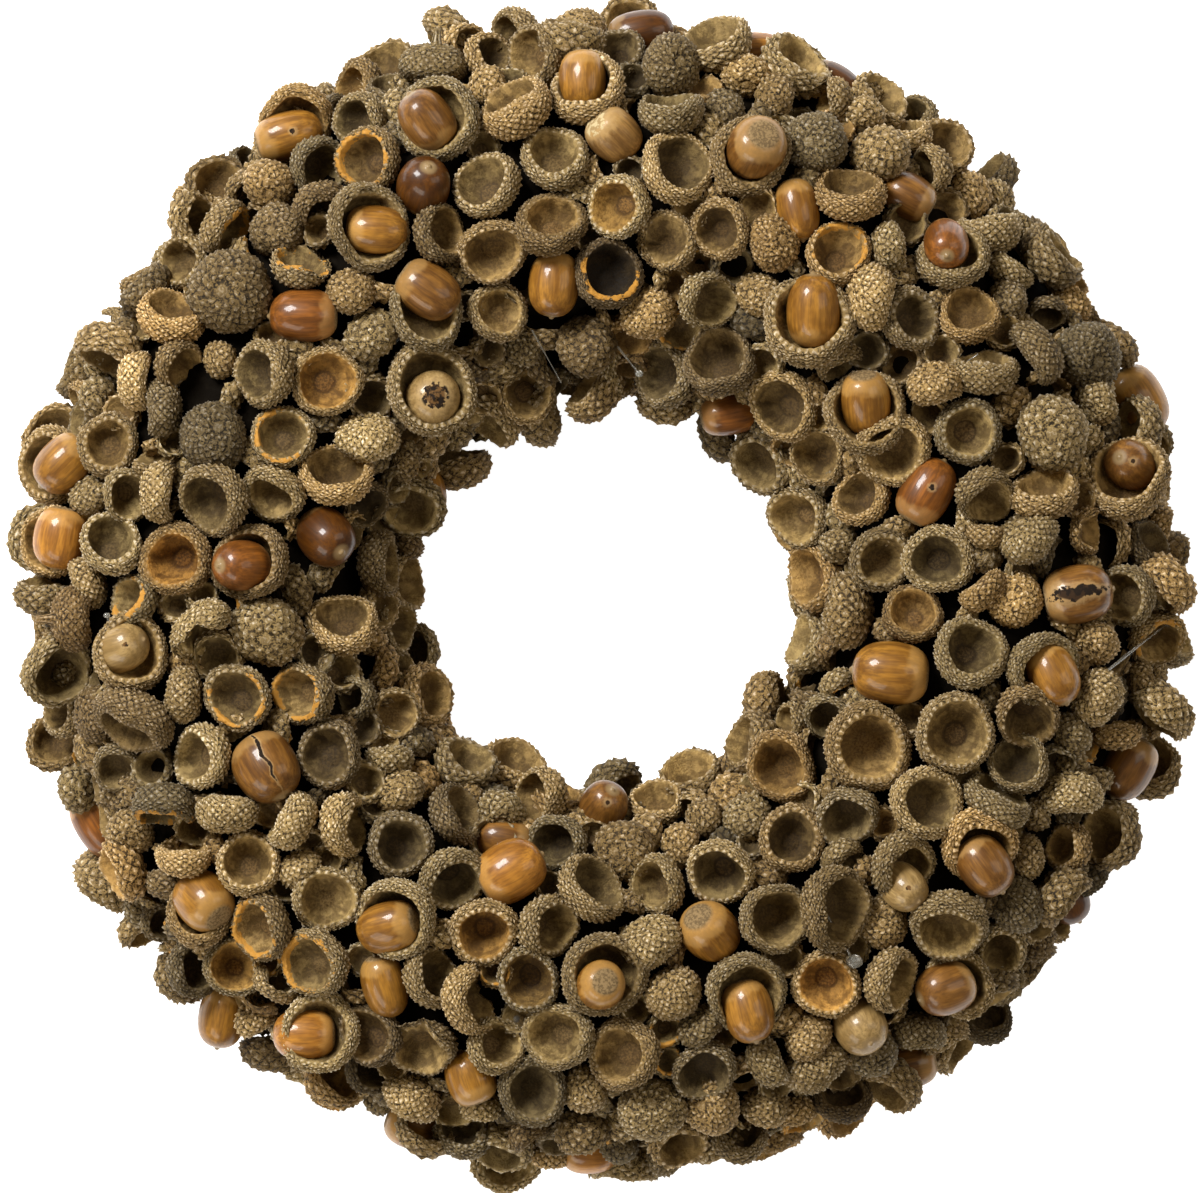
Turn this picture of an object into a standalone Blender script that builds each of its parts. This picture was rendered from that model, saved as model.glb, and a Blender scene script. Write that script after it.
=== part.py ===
"""An acorn wreath: a black-wrapped former ring, packed over its front and sides with acorn cups and acorns.

Metres, +Z up. The wreath lies on its flat back: the middle of the hole is at X = Y = 0 and the back at Z = 0.
The cups and acorns that show from the front lie as on the real wreath, and a seeded rule lays those of the flanks.
"""

import math
from collections import namedtuple

import bmesh
import bpy
import numpy as np
from mathutils import Matrix, Vector

# The packed band. Its section is three quarter-ellipses and a flat back, measured on the glue bed under the cups.
RING_RADIUS = 0.1095
BAND_HALF_WIDTH = 0.048
WAIST_HEIGHT = 0.021
CROWN_RISE = 0.037
KEEL_DROP = 0.021
BED_THICKNESS = 0.0035
BACK_INSET = 0.006
SEAT_GAP = 0.0003

# The bed and its cups are made in sectors, so that the hole stays open between them.
SECTORS = 6
BED_STEPS = 6
BED_FACETS = 8
BED_REACH = math.radians(122)

# Cups and acorns as turned profiles, as shares of the radius and of the height or half length.
# A cup's run from its foot up to its rim, at zero height, and an acorn's from its scar to its tip.
CUP_SIDES = 6
CUP_HEIGHT = 0.52
CUP_WALL = 0.13
CUP_MIDDLE = -0.45
BOWL = ((0.62, -1.0), (1.0, 0.0))
WELL_HEIGHT = -0.75
NUT_SIDES = 7
NUT_PROFILE = ((0.62, -1.0), (1.0, -0.2), (0.74, 0.62), (0.0, 1.0))
THICK_RIM_FROM = 0.0098
SMALLEST_CUP = 0.00805

# How deep a thing is bedded, how low it may reach, and by how much what is cut clear of a neighbour is cut larger.
ROOT = 0.0028
TABLE_CLEARANCE = 0.002
CUTTER_GROWTH = 0.00035
NEAR = math.radians(26)

# The flanks, as angles round the section from its crown: how many cups, their diameters, and how they lie.
FLANKS = ((56, math.radians(64), math.radians(95)), (22, math.radians(-95), math.radians(-64)))
FLANK_DIAMETERS = (0.0165, 0.0215)
OPEN_SHARE, OPEN_LEAN = 0.5, math.radians(34)
SIDE_LEAN, CAPSIZED_LEAN = math.radians(62), math.radians(150)
GOLDEN_ANGLE = math.radians(137.508)
LAYOUT_SEED = 26

# Laying out: steps of pushing apart, how far each goes, how readily listed cups give way, and how strongly they
# keep to their places. An acorn that lies in a cup goes with it, and a cup that overlaps a smaller one is perched.
RELAX_STEPS = 220
RELAX_RATE = 0.3
LISTED_GIVE = 0.4
LISTED_HOLD = 0.2
PACKING = 0.82
NEST_REACH = 0.0075
PERCH_SHARE = 0.3
MOST_PERCH = 0.0018
LAYOUT_GRAIN = 7
SECTION_LIMIT = math.radians(96)
FRONT_LIMIT = math.radians(84)

# Each acorn that shows: its middle seen from the front (mm right and up of the hole's middle), where its tip
# points (degrees anticlockwise from the right) and how far that lifts towards the viewer, its length and width,
# and how far it is held off the bed by a cup that it lies in.
Nut = namedtuple("Nut", "right up heading lift length width rise")
NUTS = (
    Nut(-6, 146, -90, 10, 18, 13.5, 3),
    Nut(11, 162, 10, 0, 19, 13.5, 2),
    Nut(3, 130, -45, -20, 16, 14.5, 0),
    Nut(45, 157, 0, 0, 18, 14, 0),
    Nut(67, 148, -30, 0, 17, 13.5, 0),
    Nut(43, 126, -120, -60, 18, 17, 3),
    Nut(55, 109, -80, 10, 18, 12.5, 0),
    Nut(87, 114, 150, 0, 16, 13, 0),
    Nut(97, 99, -90, 65, 17, 13, 3),
    Nut(59, 80, 90, 10, 21, 15.5, 3),
    Nut(74, 54, -85, -25, 18.5, 14, 3),
    Nut(155, 56, -60, 0, 21, 17, 0),
    Nut(150, 37, 150, 60, 16, 14, 3),
    Nut(91, 29, 60, 0, 20, 15, 0),
    Nut(36, 51, 10, 0, 18, 12, 0),
    Nut(134, 0, 10, 0, 20, 17, 0),
    Nut(81, -22, 175, 0, 22, 18, 0),
    Nut(127, -23, -65, 15, 18, 14, 3),
    Nut(151, -50, -120, 0, 19, 15, 0),
    Nut(108, -77, -55, 10, 18, 15, 3),
    Nut(85, -83, -45, 40, 15, 12.5, 2),
    Nut(97, -112, -160, 20, 17, 15, 3),
    Nut(73, -123, -60, 50, 17, 15, 0),
    Nut(88, -137, -170, 0, 18, 14, 0),
    Nut(30, -95, -50, -45, 18, 16, 0),
    Nut(41, -118, -75, 10, 18, 14.5, 3),
    Nut(-1, -110, -135, -75, 17, 14, 3),
    Nut(0, -59, 60, 45, 16, 13.5, 0),
    Nut(-26, -78, 30, 0, 20, 17, 0),
    Nut(-38, -138, 110, 0, 16, 14, 0),
    Nut(-56, -157, -20, 0, 17, 15, 0),
    Nut(-61, -94, -165, -20, 18, 14.5, 3),
    Nut(-62, -111, -75, -10, 18.5, 13, 0),
    Nut(-85, -125, 180, 0, 18, 14.5, 3),
    Nut(-110, -122, -100, 0, 18, 14, 0),
    Nut(-114, -87, 135, -35, 18, 16, 2),
    Nut(-95, -49, -60, 20, 20, 18, 0),
    Nut(-136, -15, 20, 30, 16, 14, 3),
    Nut(-102, 8, 180, 45, 17, 14.5, 3),
    Nut(-78, 16, -45, 45, 18, 15.5, 0),
    Nut(-155, 16, -100, 0, 18, 15, 2),
    Nut(-154, 37, -135, 0, 18, 15, 2),
    Nut(-46, 26, 100, 0, 15, 13, 0),
    Nut(-48, 55, 0, 85, 17, 16, 3),
    Nut(-85, 79, 180, 0, 19.5, 15, 0),
    Nut(-49, 85, -35, 0, 19, 15, 3),
    Nut(-64, 103, -5, 0, 18, 14, 3),
    Nut(-51, 116, 75, 55, 18, 15, 0),
    Nut(-50, 134, 125, 15, 18, 15, 3),
    Nut(-89, 130, 15, 0, 20, 14, 2),
    Nut(-14, 87, -95, 5, 18.5, 14.5, 0),
    Nut(-147, -67, -60, 0, 20, 13, 0),
    Nut(-4, -162, 0, 0, 16, 13, 0),
)

# Each cup that shows: its middle and its diameter (mm), which way its mouth faces (degrees anticlockwise from
# the right), and how far that leans away from the viewer: 0 shows the mouth full on, and 180 shows the foot.
Cup = namedtuple("Cup", "right up width heading lean")
CUPS = (
    Cup(-4, 143, 22, 120, 40), Cup(-46, 134, 24, 180, 15), Cup(41, 124, 23, 30, 12), Cup(99, 95, 20, 100, 30),
    Cup(58, 76, 26, 100, 20), Cup(74, 51, 23.5, 90, 10), Cup(150, 32, 25, 100, 40), Cup(123, -20.5, 21, -30, 30),
    Cup(106, -70, 22, -60, 35), Cup(84, -76, 20, -45, 45), Cup(101, -111, 20, 0, 15), Cup(40, -112, 23, -60, 20),
    Cup(0, -107, 24, 0, 5), Cup(-58, -91, 23, -150, 20), Cup(-80, -124, 23, 180, 10), Cup(-115, -91, 20, 90, 20),
    Cup(-134, -17, 22, 60, 15), Cup(-99, 9, 22, 180, 20), Cup(-157, 15, 20, 180, 30), Cup(-157, 37, 22, 180, 30),
    Cup(-49, 58, 26, 0, 10), Cup(-50, 79, 22, 60, 20), Cup(-67, 104, 24, 0, 20), Cup(-87, 135, 21, -90, 25),
    Cup(-49, 152, 19, -95, 100), Cup(-25, 161, 17, 200, 55), Cup(-33, 154, 15, 20, 40), Cup(-18, 154, 18, 170, 45),
    Cup(-8, 162, 17, -60, 120), Cup(4, 154, 15, 90, 30), Cup(18, 165, 13, -70, 120), Cup(32, 160, 16, 150, 60),
    Cup(21, 151, 18, 200, 150), Cup(19, 137, 19, 90, 78), Cup(-33, 145, 12, 0, 130), Cup(-25, 138, 22, 125, 65),
    Cup(-14, 123, 19.5, 90, 30), Cup(-33, 116, 19.5, 135, 35), Cup(-15, 104, 20, 80, 35), Cup(5, 109, 18.5, 190, 30),
    Cup(20, 120, 21, 40, 35), Cup(33, 103, 17.5, 190, 15), Cup(49, 100, 16, 200, 150), Cup(18, 99, 17, 100, 25),
    Cup(1, 90, 20, 45, 20), Cup(-46, 101, 17.5, 20, 50), Cup(-32, 97, 19, -90, 20), Cup(-30, 80, 17, 30, 12),
    Cup(-5, 70, 18, -60, 150), Cup(12, 79, 16, -45, 140), Cup(29, 82, 17.5, -20, 45), Cup(44, 84, 13.5, 0, 150),
    Cup(33, 66, 21, 120, 30), Cup(18, 62, 20, 180, 40), Cup(-23, 69, 11, 0, 150), Cup(-22, 56, 17, 0, 15),
    Cup(3, 62, 14, 0, 60), Cup(-38, 62, 12, 90, 100), Cup(51, 53, 20, 200, 25), Cup(49, 143, 13.5, 0, 130),
    Cup(39, 148, 14, 90, 140), Cup(34, 139, 12, 0, 150), Cup(54, 155, 14, 180, 110), Cup(65, 142, 14, 180, 75),
    Cup(76, 147, 13.5, 90, 120), Cup(91, 141, 17, 130, 45), Cup(60, 129, 18, 0, 160), Cup(75, 136, 14, 90, 130),
    Cup(79, 125, 18, -45, 130), Cup(87, 132, 15, 110, 75), Cup(70, 112, 20, 90, 65), Cup(94, 121, 15, 180, 60),
    Cup(104, 127, 13, 0, 90), Cup(106, 115, 14, 200, 130), Cup(115, 116, 13, 180, 130), Cup(110, 103, 19, 90, 95),
    Cup(125, 108, 12, 60, 120), Cup(137, 93, 14, 30, 60), Cup(80, 98, 15, 0, 110), Cup(66, 95, 19, 80, 25),
    Cup(76, 83, 18.5, 0, 112), Cup(85, 79, 18, 10, 30), Cup(103, 78, 17.5, 80, 35), Cup(115, 84, 12.5, 0, 140),
    Cup(117, 92, 14, 60, 100), Cup(134, 85, 14, 45, 110), Cup(127, 81, 12, -90, 50), Cup(146, 82, 11, 30, 130),
    Cup(122, 69, 18, 215, 100), Cup(139, 67, 20, 150, 150), Cup(93, 60, 16, -75, 118), Cup(109, 63, 18.5, 90, 70),
    Cup(66, 66, 14, -60, 80), Cup(140, 54, 14, 45, 130), Cup(81, 43, 21, -90, 15), Cup(103, 46, 19, 0, 5),
    Cup(126, 44, 21, 0, 175), Cup(61, 39, 17, 190, 25), Cup(56, 22, 19, 200, 35), Cup(73, 27, 17, 150, 35),
    Cup(107, 27, 18, -60, 55), Cup(125, 29, 19, 90, 55), Cup(108, 18, 12, 90, 90), Cup(120, 17, 18, -60, 120),
    Cup(137, 18, 14, 0, 80), Cup(80, 10, 18.5, -30, 10), Cup(93, 10, 20, 200, 12), Cup(66, 13, 12, 90, 130),
    Cup(155, 13, 15, 30, 60), Cup(164, 19, 14, -20, 110), Cup(163, 3, 14, 0, 70), Cup(148, 0, 18, 190, 35),
    Cup(117, -1, 16, -45, 160), Cup(107, 1, 15, 135, 92), Cup(69, -4, 21, 180, 110), Cup(87, -6, 17, 90, 20),
    Cup(103, -17, 21, 60, 25), Cup(120, -34, 19, -80, 40), Cup(140, -14, 15, 45, 120), Cup(158, -12, 17, -60, 40),
    Cup(139, -30, 18, -20, 120), Cup(153, -25, 12, 0, 120), Cup(161, -23, 14, 180, 80), Cup(158, -35, 14, 170, 60),
    Cup(148, -40, 14, 90, 85), Cup(74, -43, 25, 0, 10), Cup(99, -39, 22.5, 0, 5), Cup(118, -48, 17.5, 120, 30),
    Cup(133, -40, 13, 45, 130), Cup(132, -57, 18, -90, 110), Cup(50, -48, 20, 180, 15), Cup(65, -25, 12, -60, 80),
    Cup(63, -33, 14, -90, 30), Cup(54, -36, 12, 180, 60), Cup(55, 8, 12, 180, 70), Cup(53, -69, 19, 90, 10),
    Cup(69, -63, 18, -110, 30), Cup(91, -59, 21, 10, 20), Cup(112, -57, 19, 60, 75), Cup(124, -62, 10, 0, 130),
    Cup(122, -75, 14, 0, 100), Cup(132, -73, 15, 170, 45), Cup(149, -67, 16, -30, 60), Cup(67, -73, 13, -60, 70),
    Cup(66, -89, 23, -10, 40), Cup(77, -92, 15, 0, 175), Cup(96, -92, 22, -90, 40), Cup(118, -88, 17, 0, 130),
    Cup(131, -86, 12, -30, 130), Cup(142, -82, 15, -30, 110), Cup(113, -101, 16, -90, 35), Cup(132, -96, 13, 0, 60),
    Cup(125, -101, 13, -45, 120), Cup(63, -110, 19.5, -90, 5), Cup(82, -109, 19, -20, 60), Cup(89, -124, 16, -100, 100),
    Cup(58, -126, 15, -60, 120), Cup(110, -122, 17, 80, 45), Cup(117, -114, 14, -30, 130), Cup(99, -129, 15, -60, 100),
    Cup(76, -130, 15, 0, 150), Cup(60, -133, 19, -60, 110), Cup(70, -144, 17, 90, 40), Cup(54, -147, 14, -90, 110),
    Cup(57, -155, 14, -60, 60), Cup(-70, 148, 17, 190, 50), Cup(-61, 145, 13, 90, 60), Cup(-78, 139, 12, 0, 60),
    Cup(-69, 135, 16.5, 180, 35), Cup(-81, 123, 17.5, -30, 35), Cup(-67, 123, 19, 180, 30), Cup(-95, 116, 15.5, 90, 150),
    Cup(-93, 103, 16, 0, 160), Cup(-105, 124, 12.5, 45, 60), Cup(-80, 111, 16, -60, 60), Cup(-119, 112, 17, 200, 40),
    Cup(-109, 105, 17, -30, 70), Cup(-120, 94, 16, 170, 30), Cup(-107, 85, 24, 0, 165), Cup(-133, 90, 14, 120, 100),
    Cup(-144, 79, 13, 200, 60), Cup(-136, 81, 10, 0, 80), Cup(-122, 80, 20, 80, 60), Cup(-136, 73, 12, 180, 130),
    Cup(-144, 66, 13, 150, 130), Cup(-121, 65, 16, -30, 50), Cup(-109, 66, 11, 0, 130), Cup(-96, 63, 19, 185, 45),
    Cup(-78, 60, 20, 0, 5), Cup(-71, 86, 14.5, -90, 140), Cup(-86, 93, 17, 90, 60), Cup(-65, 73, 16, -60, 140),
    Cup(-133, 58, 17, 0, 95), Cup(-125, 56, 16, 180, 100), Cup(-143, 56, 13.5, 180, 130), Cup(-152, 58, 12, 200, 80),
    Cup(-140, 42, 18, 90, 10), Cup(-128, 38, 14, 120, 90), Cup(-110, 45, 20, -120, 150), Cup(-90, 44, 18, 100, 10),
    Cup(-68, 44, 18, -90, 120), Cup(-74, 34, 20, 90, 45), Cup(-57, 38, 12, 0, 120), Cup(-67, 26, 14, -45, 40),
    Cup(-93, 29, 17.5, -120, 35), Cup(-111, 28, 21, -150, 40), Cup(-125, 28, 17, 0, 92), Cup(-135, 27, 15, -30, 20),
    Cup(-147, 29, 13.5, -60, 120), Cup(-161, 27, 10, 180, 120), Cup(-139, 15, 18.5, 90, 35), Cup(-121, 10, 21, 190, 12),
    Cup(-64, 9, 18, 0, 70), Cup(-56, 16, 14, 30, 110), Cup(-159, 3, 11, 180, 130), Cup(-147, 1, 15, 200, 100),
    Cup(-152, -5, 19, 0, 104), Cup(-132, -3, 16, 160, 50), Cup(-114, -9, 20, -45, 92), Cup(-95, -11, 20.5, 90, 160),
    Cup(-73, -9, 20, 90, 40), Cup(-59, -9, 16, 0, 60), Cup(-157, -17, 13, 180, 60), Cup(-103, -29, 19, 180, 8),
    Cup(-84, -28, 18.5, 180, 35), Cup(-119, -29, 16, 180, 100), Cup(-154, -23, 11, 150, 120), Cup(-162, -29, 9, 180, 120),
    Cup(-155, -34, 15, 170, 50), Cup(-146, -34, 16, 0, 120), Cup(-133, -35, 23, -120, 70), Cup(-113, -46, 19, 180, 45),
    Cup(-77, -45, 19, 180, 15), Cup(-69, -29, 13, 180, 40), Cup(-59, -34, 15, 0, 15), Cup(-60, -46, 14, 90, 95),
    Cup(-58, -55, 14, -60, 130), Cup(-138, -49, 14, -100, 25), Cup(-149, -49, 9, 200, 60), Cup(-149, -56, 14, 180, 130),
    Cup(-123, -61, 19, -90, 75), Cup(-136, -58, 13, 0, 140), Cup(-153, -65, 10, 180, 130), Cup(-135, -67, 14, 90, 140),
    Cup(-120, -73, 17, 90, 75), Cup(-106, -62, 18, 90, 98), Cup(-100, -76, 18.5, 100, 15), Cup(-88, -64, 18, 150, 95),
    Cup(-73, -65, 19, 0, 70), Cup(-85, -78, 13, -60, 110), Cup(-80, -85, 19, 0, 10), Cup(-58, -70, 19, 0, 8),
    Cup(-135, -85, 11, 0, 140), Cup(-126, -83, 12, 90, 110), Cup(-144, -83, 11, 200, 120), Cup(-137, -91, 12, 200, 130),
    Cup(-128, -94, 12.5, -30, 30), Cup(-127, -104, 11, 200, 100), Cup(-118, -107, 17, 0, 35), Cup(-105, -106, 17.5, 0, 5),
    Cup(-97, -94, 19, 200, 40), Cup(-93, -111, 14, 60, 92), Cup(-82, -105, 20, 200, 30), Cup(-100, -121, 13, -60, 120),
    Cup(-68, -124, 18, 180, 30), Cup(-90, -139, 11, 200, 130), Cup(-78, -142, 16, -60, 40), Cup(-67, -136, 15, 0, 30),
    Cup(-66, -147, 10, 0, 130), Cup(-42, -62, 18, 30, 65), Cup(-29, -62, 14, 90, 140), Cup(-17, -57, 18, 180, 50),
    Cup(-14, -70, 17, 200, 20), Cup(-42, -80, 19, -60, 35), Cup(-34, -94, 19.5, -90, 12), Cup(-16, -93, 19, -10, 45),
    Cup(-3, -84, 20, 45, 50), Cup(15, -82, 17, 180, 35), Cup(33, -79, 19, -120, 20), Cup(5, -72, 18, 0, 150),
    Cup(21, -70, 13, 0, 130), Cup(15, -59, 16, 100, 50), Cup(28, -63, 12, 0, 130), Cup(40, -62, 15, -90, 140),
    Cup(49, -91, 20.5, 0, 20), Cup(12, -97, 18, -60, 115), Cup(-49, -109, 18, 20, 50), Cup(-38, -115, 20, 0, 60),
    Cup(-22, -109, 18, -90, 8), Cup(19, -112, 17, -45, 130), Cup(27, -123, 14, -60, 120), Cup(29, -133, 18, -100, 30),
    Cup(46, -133, 15, 30, 110), Cup(-31, -127, 17, 30, 30), Cup(-51, -128, 19, -90, 50), Cup(-13, -126, 20, 180, 20),
    Cup(6, -130, 21, 185, 25), Cup(-36, -146, 13, -90, 110), Cup(-20, -140, 20, -45, 10), Cup(-53, -143, 17, -120, 120),
    Cup(-40, -155, 16, 90, 40), Cup(-23, -153, 14, -60, 100), Cup(-6, -141, 14, 0, 140), Cup(-6, -152, 16, -90, 130),
    Cup(14, -147, 19, -90, 160), Cup(30, -146, 17, 0, 150), Cup(46, -146, 13.5, -90, 140), Cup(39, -156, 17, 80, 50),
    Cup(19, -161, 16, -60, 100), Cup(5, -159, 12, 0, 140), Cup(11, -164, 14, -90, 60), Cup(-16, -160, 13, -90, 130),
    Cup(-20, -164, 9, -90, 100), Cup(-38, -163, 10, -90, 120),
)

# One thing as it lies: its own origin, the way its mouth or tip points, its turn about that, and its size.
Laid = namedtuple("Laid", "origin axis normal turn radius height bearing")


def section(lean, lift=0.0):
    """Radius, height and outward normal of the band's section at an angle from its crown, outwards positive."""
    rise = np.where(np.cos(lean) > 0, CROWN_RISE, KEEL_DROP)
    out = np.sin(lean) / BAND_HALF_WIDTH
    up = np.cos(lean) / rise
    size = np.sqrt(out * out + up * up)
    radius = RING_RADIUS + BAND_HALF_WIDTH * np.sin(lean) + lift * out / size
    height = WAIST_HEIGHT + rise * np.cos(lean) + lift * up / size
    return radius, height, out / size, up / size


def seat(bearing, lean):
    """A point on the faceted bed and the section's frame there: its normal and the way outwards along it."""
    stations = np.linspace(-BED_REACH, BED_REACH, BED_FACETS + 1)
    radii, heights, _, _ = section(stations)
    _, _, out, up = section(lean)
    facet = 2 * math.pi / (SECTORS * BED_STEPS)
    off = bearing / facet - math.floor(bearing / facet) - 0.5
    radius = np.interp(lean, stations, radii) * math.cos(facet / 2) / math.cos(off * facet)
    side, rise = Vector((math.cos(bearing), math.sin(bearing), 0.0)), Vector((0.0, 0.0, 1.0))
    foot = side * float(radius) + rise * float(np.interp(lean, stations, heights))
    return foot, side * float(out) + rise * float(up), side * float(up) - rise * float(out)


def reach_down(profile, axis, normal, radius, height):
    """How far a turned shape reaches down along a normal from its own origin."""
    along = axis.dot(normal)
    across = math.sqrt(max(0.0, 1 - along * along))
    return max(wide * radius * across - high * height * along for wide, high in profile)


def pointing(heading, lean):
    """The direction seen from the front at a heading and leaning away from the viewer, both in degrees."""
    turn, tip = math.radians(heading), math.radians(lean)
    return Vector((math.cos(turn) * math.sin(tip), math.sin(turn) * math.sin(tip), math.cos(tip)))


def lean_under(right, up, axis, profile, radius, height, rise):
    """The angle round the section at which a thing's origin shows at a place seen from the front."""
    angles = np.linspace(-FRONT_LIMIT, FRONT_LIMIT, 337)
    plan, bearing, lift = math.hypot(right, up), math.atan2(up, right), radius / 2
    for _ in range(5):
        lean = float(np.interp(plan, section(angles, lift)[0], angles))
        _, normal, _ = seat(bearing, lean)
        lift = reach_down(profile, axis, normal, radius, height) + rise - ROOT
    return lean


def crowding(arc, bearing, extents, radius):
    """For each pair of oval footprints on the band: how far they lie apart each way and in all, and overlap."""
    along, across, way_out, way_round = extents
    out = arc[:, None] - arc[None, :]
    turn = bearing[:, None] - bearing[None, :]
    turn = turn - 2 * math.pi * np.round(turn / (2 * math.pi))
    round_ = turn * (radius[:, None] + radius[None, :]) / 2
    apart = np.sqrt(out * out + round_ * round_) + 1e-9
    facing = ((out * way_out[:, None] + round_ * way_round[:, None]) / apart) ** 2
    reach = np.sqrt(across[:, None] ** 2 * (1 - facing) + along[:, None] ** 2 * facing)
    overlap = np.clip(reach + reach.T - apart, 0, None)
    np.fill_diagonal(overlap, 0)
    return out, round_, apart, overlap


def spread_out(arc, bearing, extents, give, hold, nested, arc_end, radius_of):
    """Pushes footprints apart over the band, but for those nested in one another. Places are rounded at each step."""
    first_arc, first_bearing = arc, bearing
    for _ in range(RELAX_STEPS):
        radius = radius_of(arc)
        out, round_, apart, overlap = crowding(arc, bearing, extents, radius)
        push = np.where(nested, 0, overlap) / apart
        arc = arc + give * RELAX_RATE * (push * out).sum(axis=1) + hold * (first_arc - arc)
        bearing = bearing + give * RELAX_RATE * (push * round_).sum(axis=1) / radius + hold * (first_bearing - bearing)
        arc = np.round(np.clip(arc, 0, arc_end), LAYOUT_GRAIN)
        bearing = np.round(bearing, LAYOUT_GRAIN)
    return arc, bearing


def extent(axis, normal, outwards, radius, half_length):
    """A footprint on the band: half its length and half its width, and the way that its length lies."""
    tip = axis.dot(normal)
    flat = math.sqrt(max(1e-9, 1 - tip * tip))
    along = radius * abs(tip) + half_length * flat
    around = axis.dot(normal.cross(outwards)) / flat
    return along, radius, axis.dot(outwards) / flat, around


def flank_cups(draw):
    """The cups of the flanks, where a golden-angle rule starts them: bearing, angle round the section, and cup."""
    made = []
    for count, low, high in FLANKS:
        for index in range(count):
            share, amount, way, size, turn = draw.random(5)
            bearing = (index * GOLDEN_ANGLE) % (2 * math.pi)
            lean = low + (high - low) * (index + 0.5) / count
            radius = (FLANK_DIAMETERS[0] + (FLANK_DIAMETERS[1] - FLANK_DIAMETERS[0]) * size) / 2
            _, normal, outwards = seat(bearing, lean)
            tip = OPEN_LEAN * amount if share < OPEN_SHARE else SIDE_LEAN + (CAPSIZED_LEAN - SIDE_LEAN) * amount
            across = outwards.copy()
            across.rotate(Matrix.Rotation(2 * math.pi * way, 3, normal))
            if tip > OPEN_LEAN and across.z < 0:
                across = -across
            axis = (normal * math.cos(tip) + across * math.sin(tip)).normalized()
            made.append((bearing, lean, axis, radius, 2 * math.pi * turn))
    return made


def lay_out():
    """Every acorn and every cup as it lies on the band."""
    draw = np.random.default_rng(LAYOUT_SEED)
    angles = np.linspace(-SECTION_LIMIT, SECTION_LIMIT, 401)
    radii, heights, _, _ = section(angles)
    arcs = np.concatenate([[0], np.cumsum(np.hypot(np.diff(radii), np.diff(heights)))])

    things = []
    for nut in NUTS:
        radius, half = nut.width / 2000, nut.length / 2000
        axis = pointing(nut.heading, 90 - nut.lift)
        right, up, rise = nut.right / 1000, nut.up / 1000, nut.rise / 1000
        lean = lean_under(right, up, axis, NUT_PROFILE, radius, half, rise)
        things.append((math.atan2(up, right), lean, axis, radius, half, 0.0, half, rise, 0.0))
    for cup in CUPS:
        radius = cup.width / 2000
        height, axis = 2 * radius * CUP_HEIGHT, pointing(cup.heading, cup.lean)
        right, up = cup.right / 1000 - CUP_MIDDLE * height * axis.x, cup.up / 1000 - CUP_MIDDLE * height * axis.y
        lean = lean_under(right, up, axis, BOWL, radius, height, 0.0)
        turn = 2 * math.pi * draw.random()
        things.append((math.atan2(up, right), lean, axis, radius, height, turn, height / 2, 0.0, LISTED_GIVE))
    for bearing, lean, axis, radius, turn in flank_cups(draw):
        height = 2 * radius * CUP_HEIGHT
        things.append((bearing, lean, axis, radius, height, turn, height / 2, 0.0, 1.0))

    extents = []
    for bearing, lean, axis, radius, _, _, half_length, _, _ in things:
        _, normal, outwards = seat(bearing, lean)
        extents.append(extent(axis, normal, outwards, radius * PACKING, half_length * PACKING))
    arc = np.interp([thing[1] for thing in things], angles, arcs)
    bearing = np.array([thing[0] for thing in things])
    extents, size = np.array(extents).T, np.array([thing[3] for thing in things])
    rises, give = np.array([thing[7] for thing in things]), np.array([thing[8] for thing in things])
    apart = crowding(arc, bearing, extents, np.interp(arc, arcs, radii))[2]
    nested = (apart < NEST_REACH) & (rises[:, None] > 0) & (give[None, :] > 0)
    holder = nested.any(axis=0)
    give = np.where(holder, 0, give)
    hold = np.where((give > 0) & (give < 1), LISTED_HOLD, 0)
    nested = nested | nested.T
    arc, bearing = spread_out(
        arc, bearing, extents, give, hold, nested, arcs[-1], lambda place: np.interp(place, arcs, radii)
    )
    overlap = crowding(arc, bearing, extents, np.interp(arc, arcs, radii))[3]
    over = np.where(nested | (size[:, None] <= size[None, :]), 0, overlap)
    perch = np.minimum(PERCH_SHARE * over.sum(axis=1), MOST_PERCH)
    perch[:len(NUTS)] = (nested[:len(NUTS)] * perch).max(axis=1)

    laid = []
    for thing, lean, where, raised in zip(things, np.interp(arc, arcs, angles), bearing, perch):
        _, _, axis, radius, height, turn, _, rise, _ = thing
        foot, normal, _ = seat(float(where), float(lean))
        profile = NUT_PROFILE if len(laid) < len(NUTS) else BOWL
        lift = reach_down(profile, axis, normal, radius, height) + rise + float(raised) - ROOT
        lift = max(lift, (TABLE_CLEARANCE + reach_down(profile, axis, Vector((0, 0, 1)), radius, height) - foot.z)
                   / max(0.3, normal.z)) if normal.z > 0 else lift
        laid.append(Laid(foot + normal * lift, axis, normal, turn, radius, height, float(where)))
    return laid[:len(NUTS)], laid[len(NUTS):]


def placed(thing):
    """The matrix that stands a shape's own Z along a thing's axis, with its origin at the thing's."""
    stand = thing.axis.to_track_quat("Z", "Y").to_matrix().to_4x4()
    return Matrix.Translation(thing.origin) @ stand @ Matrix.Rotation(thing.turn, 4, "Z")


def new_object(name, bm, collection, material=None):
    mesh = bpy.data.meshes.new(name)
    bm.to_mesh(mesh)
    bm.free()
    obj = bpy.data.objects.new(name, mesh)
    collection.objects.link(obj)
    if material:
        mesh.materials.append(material)
    return obj


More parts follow.
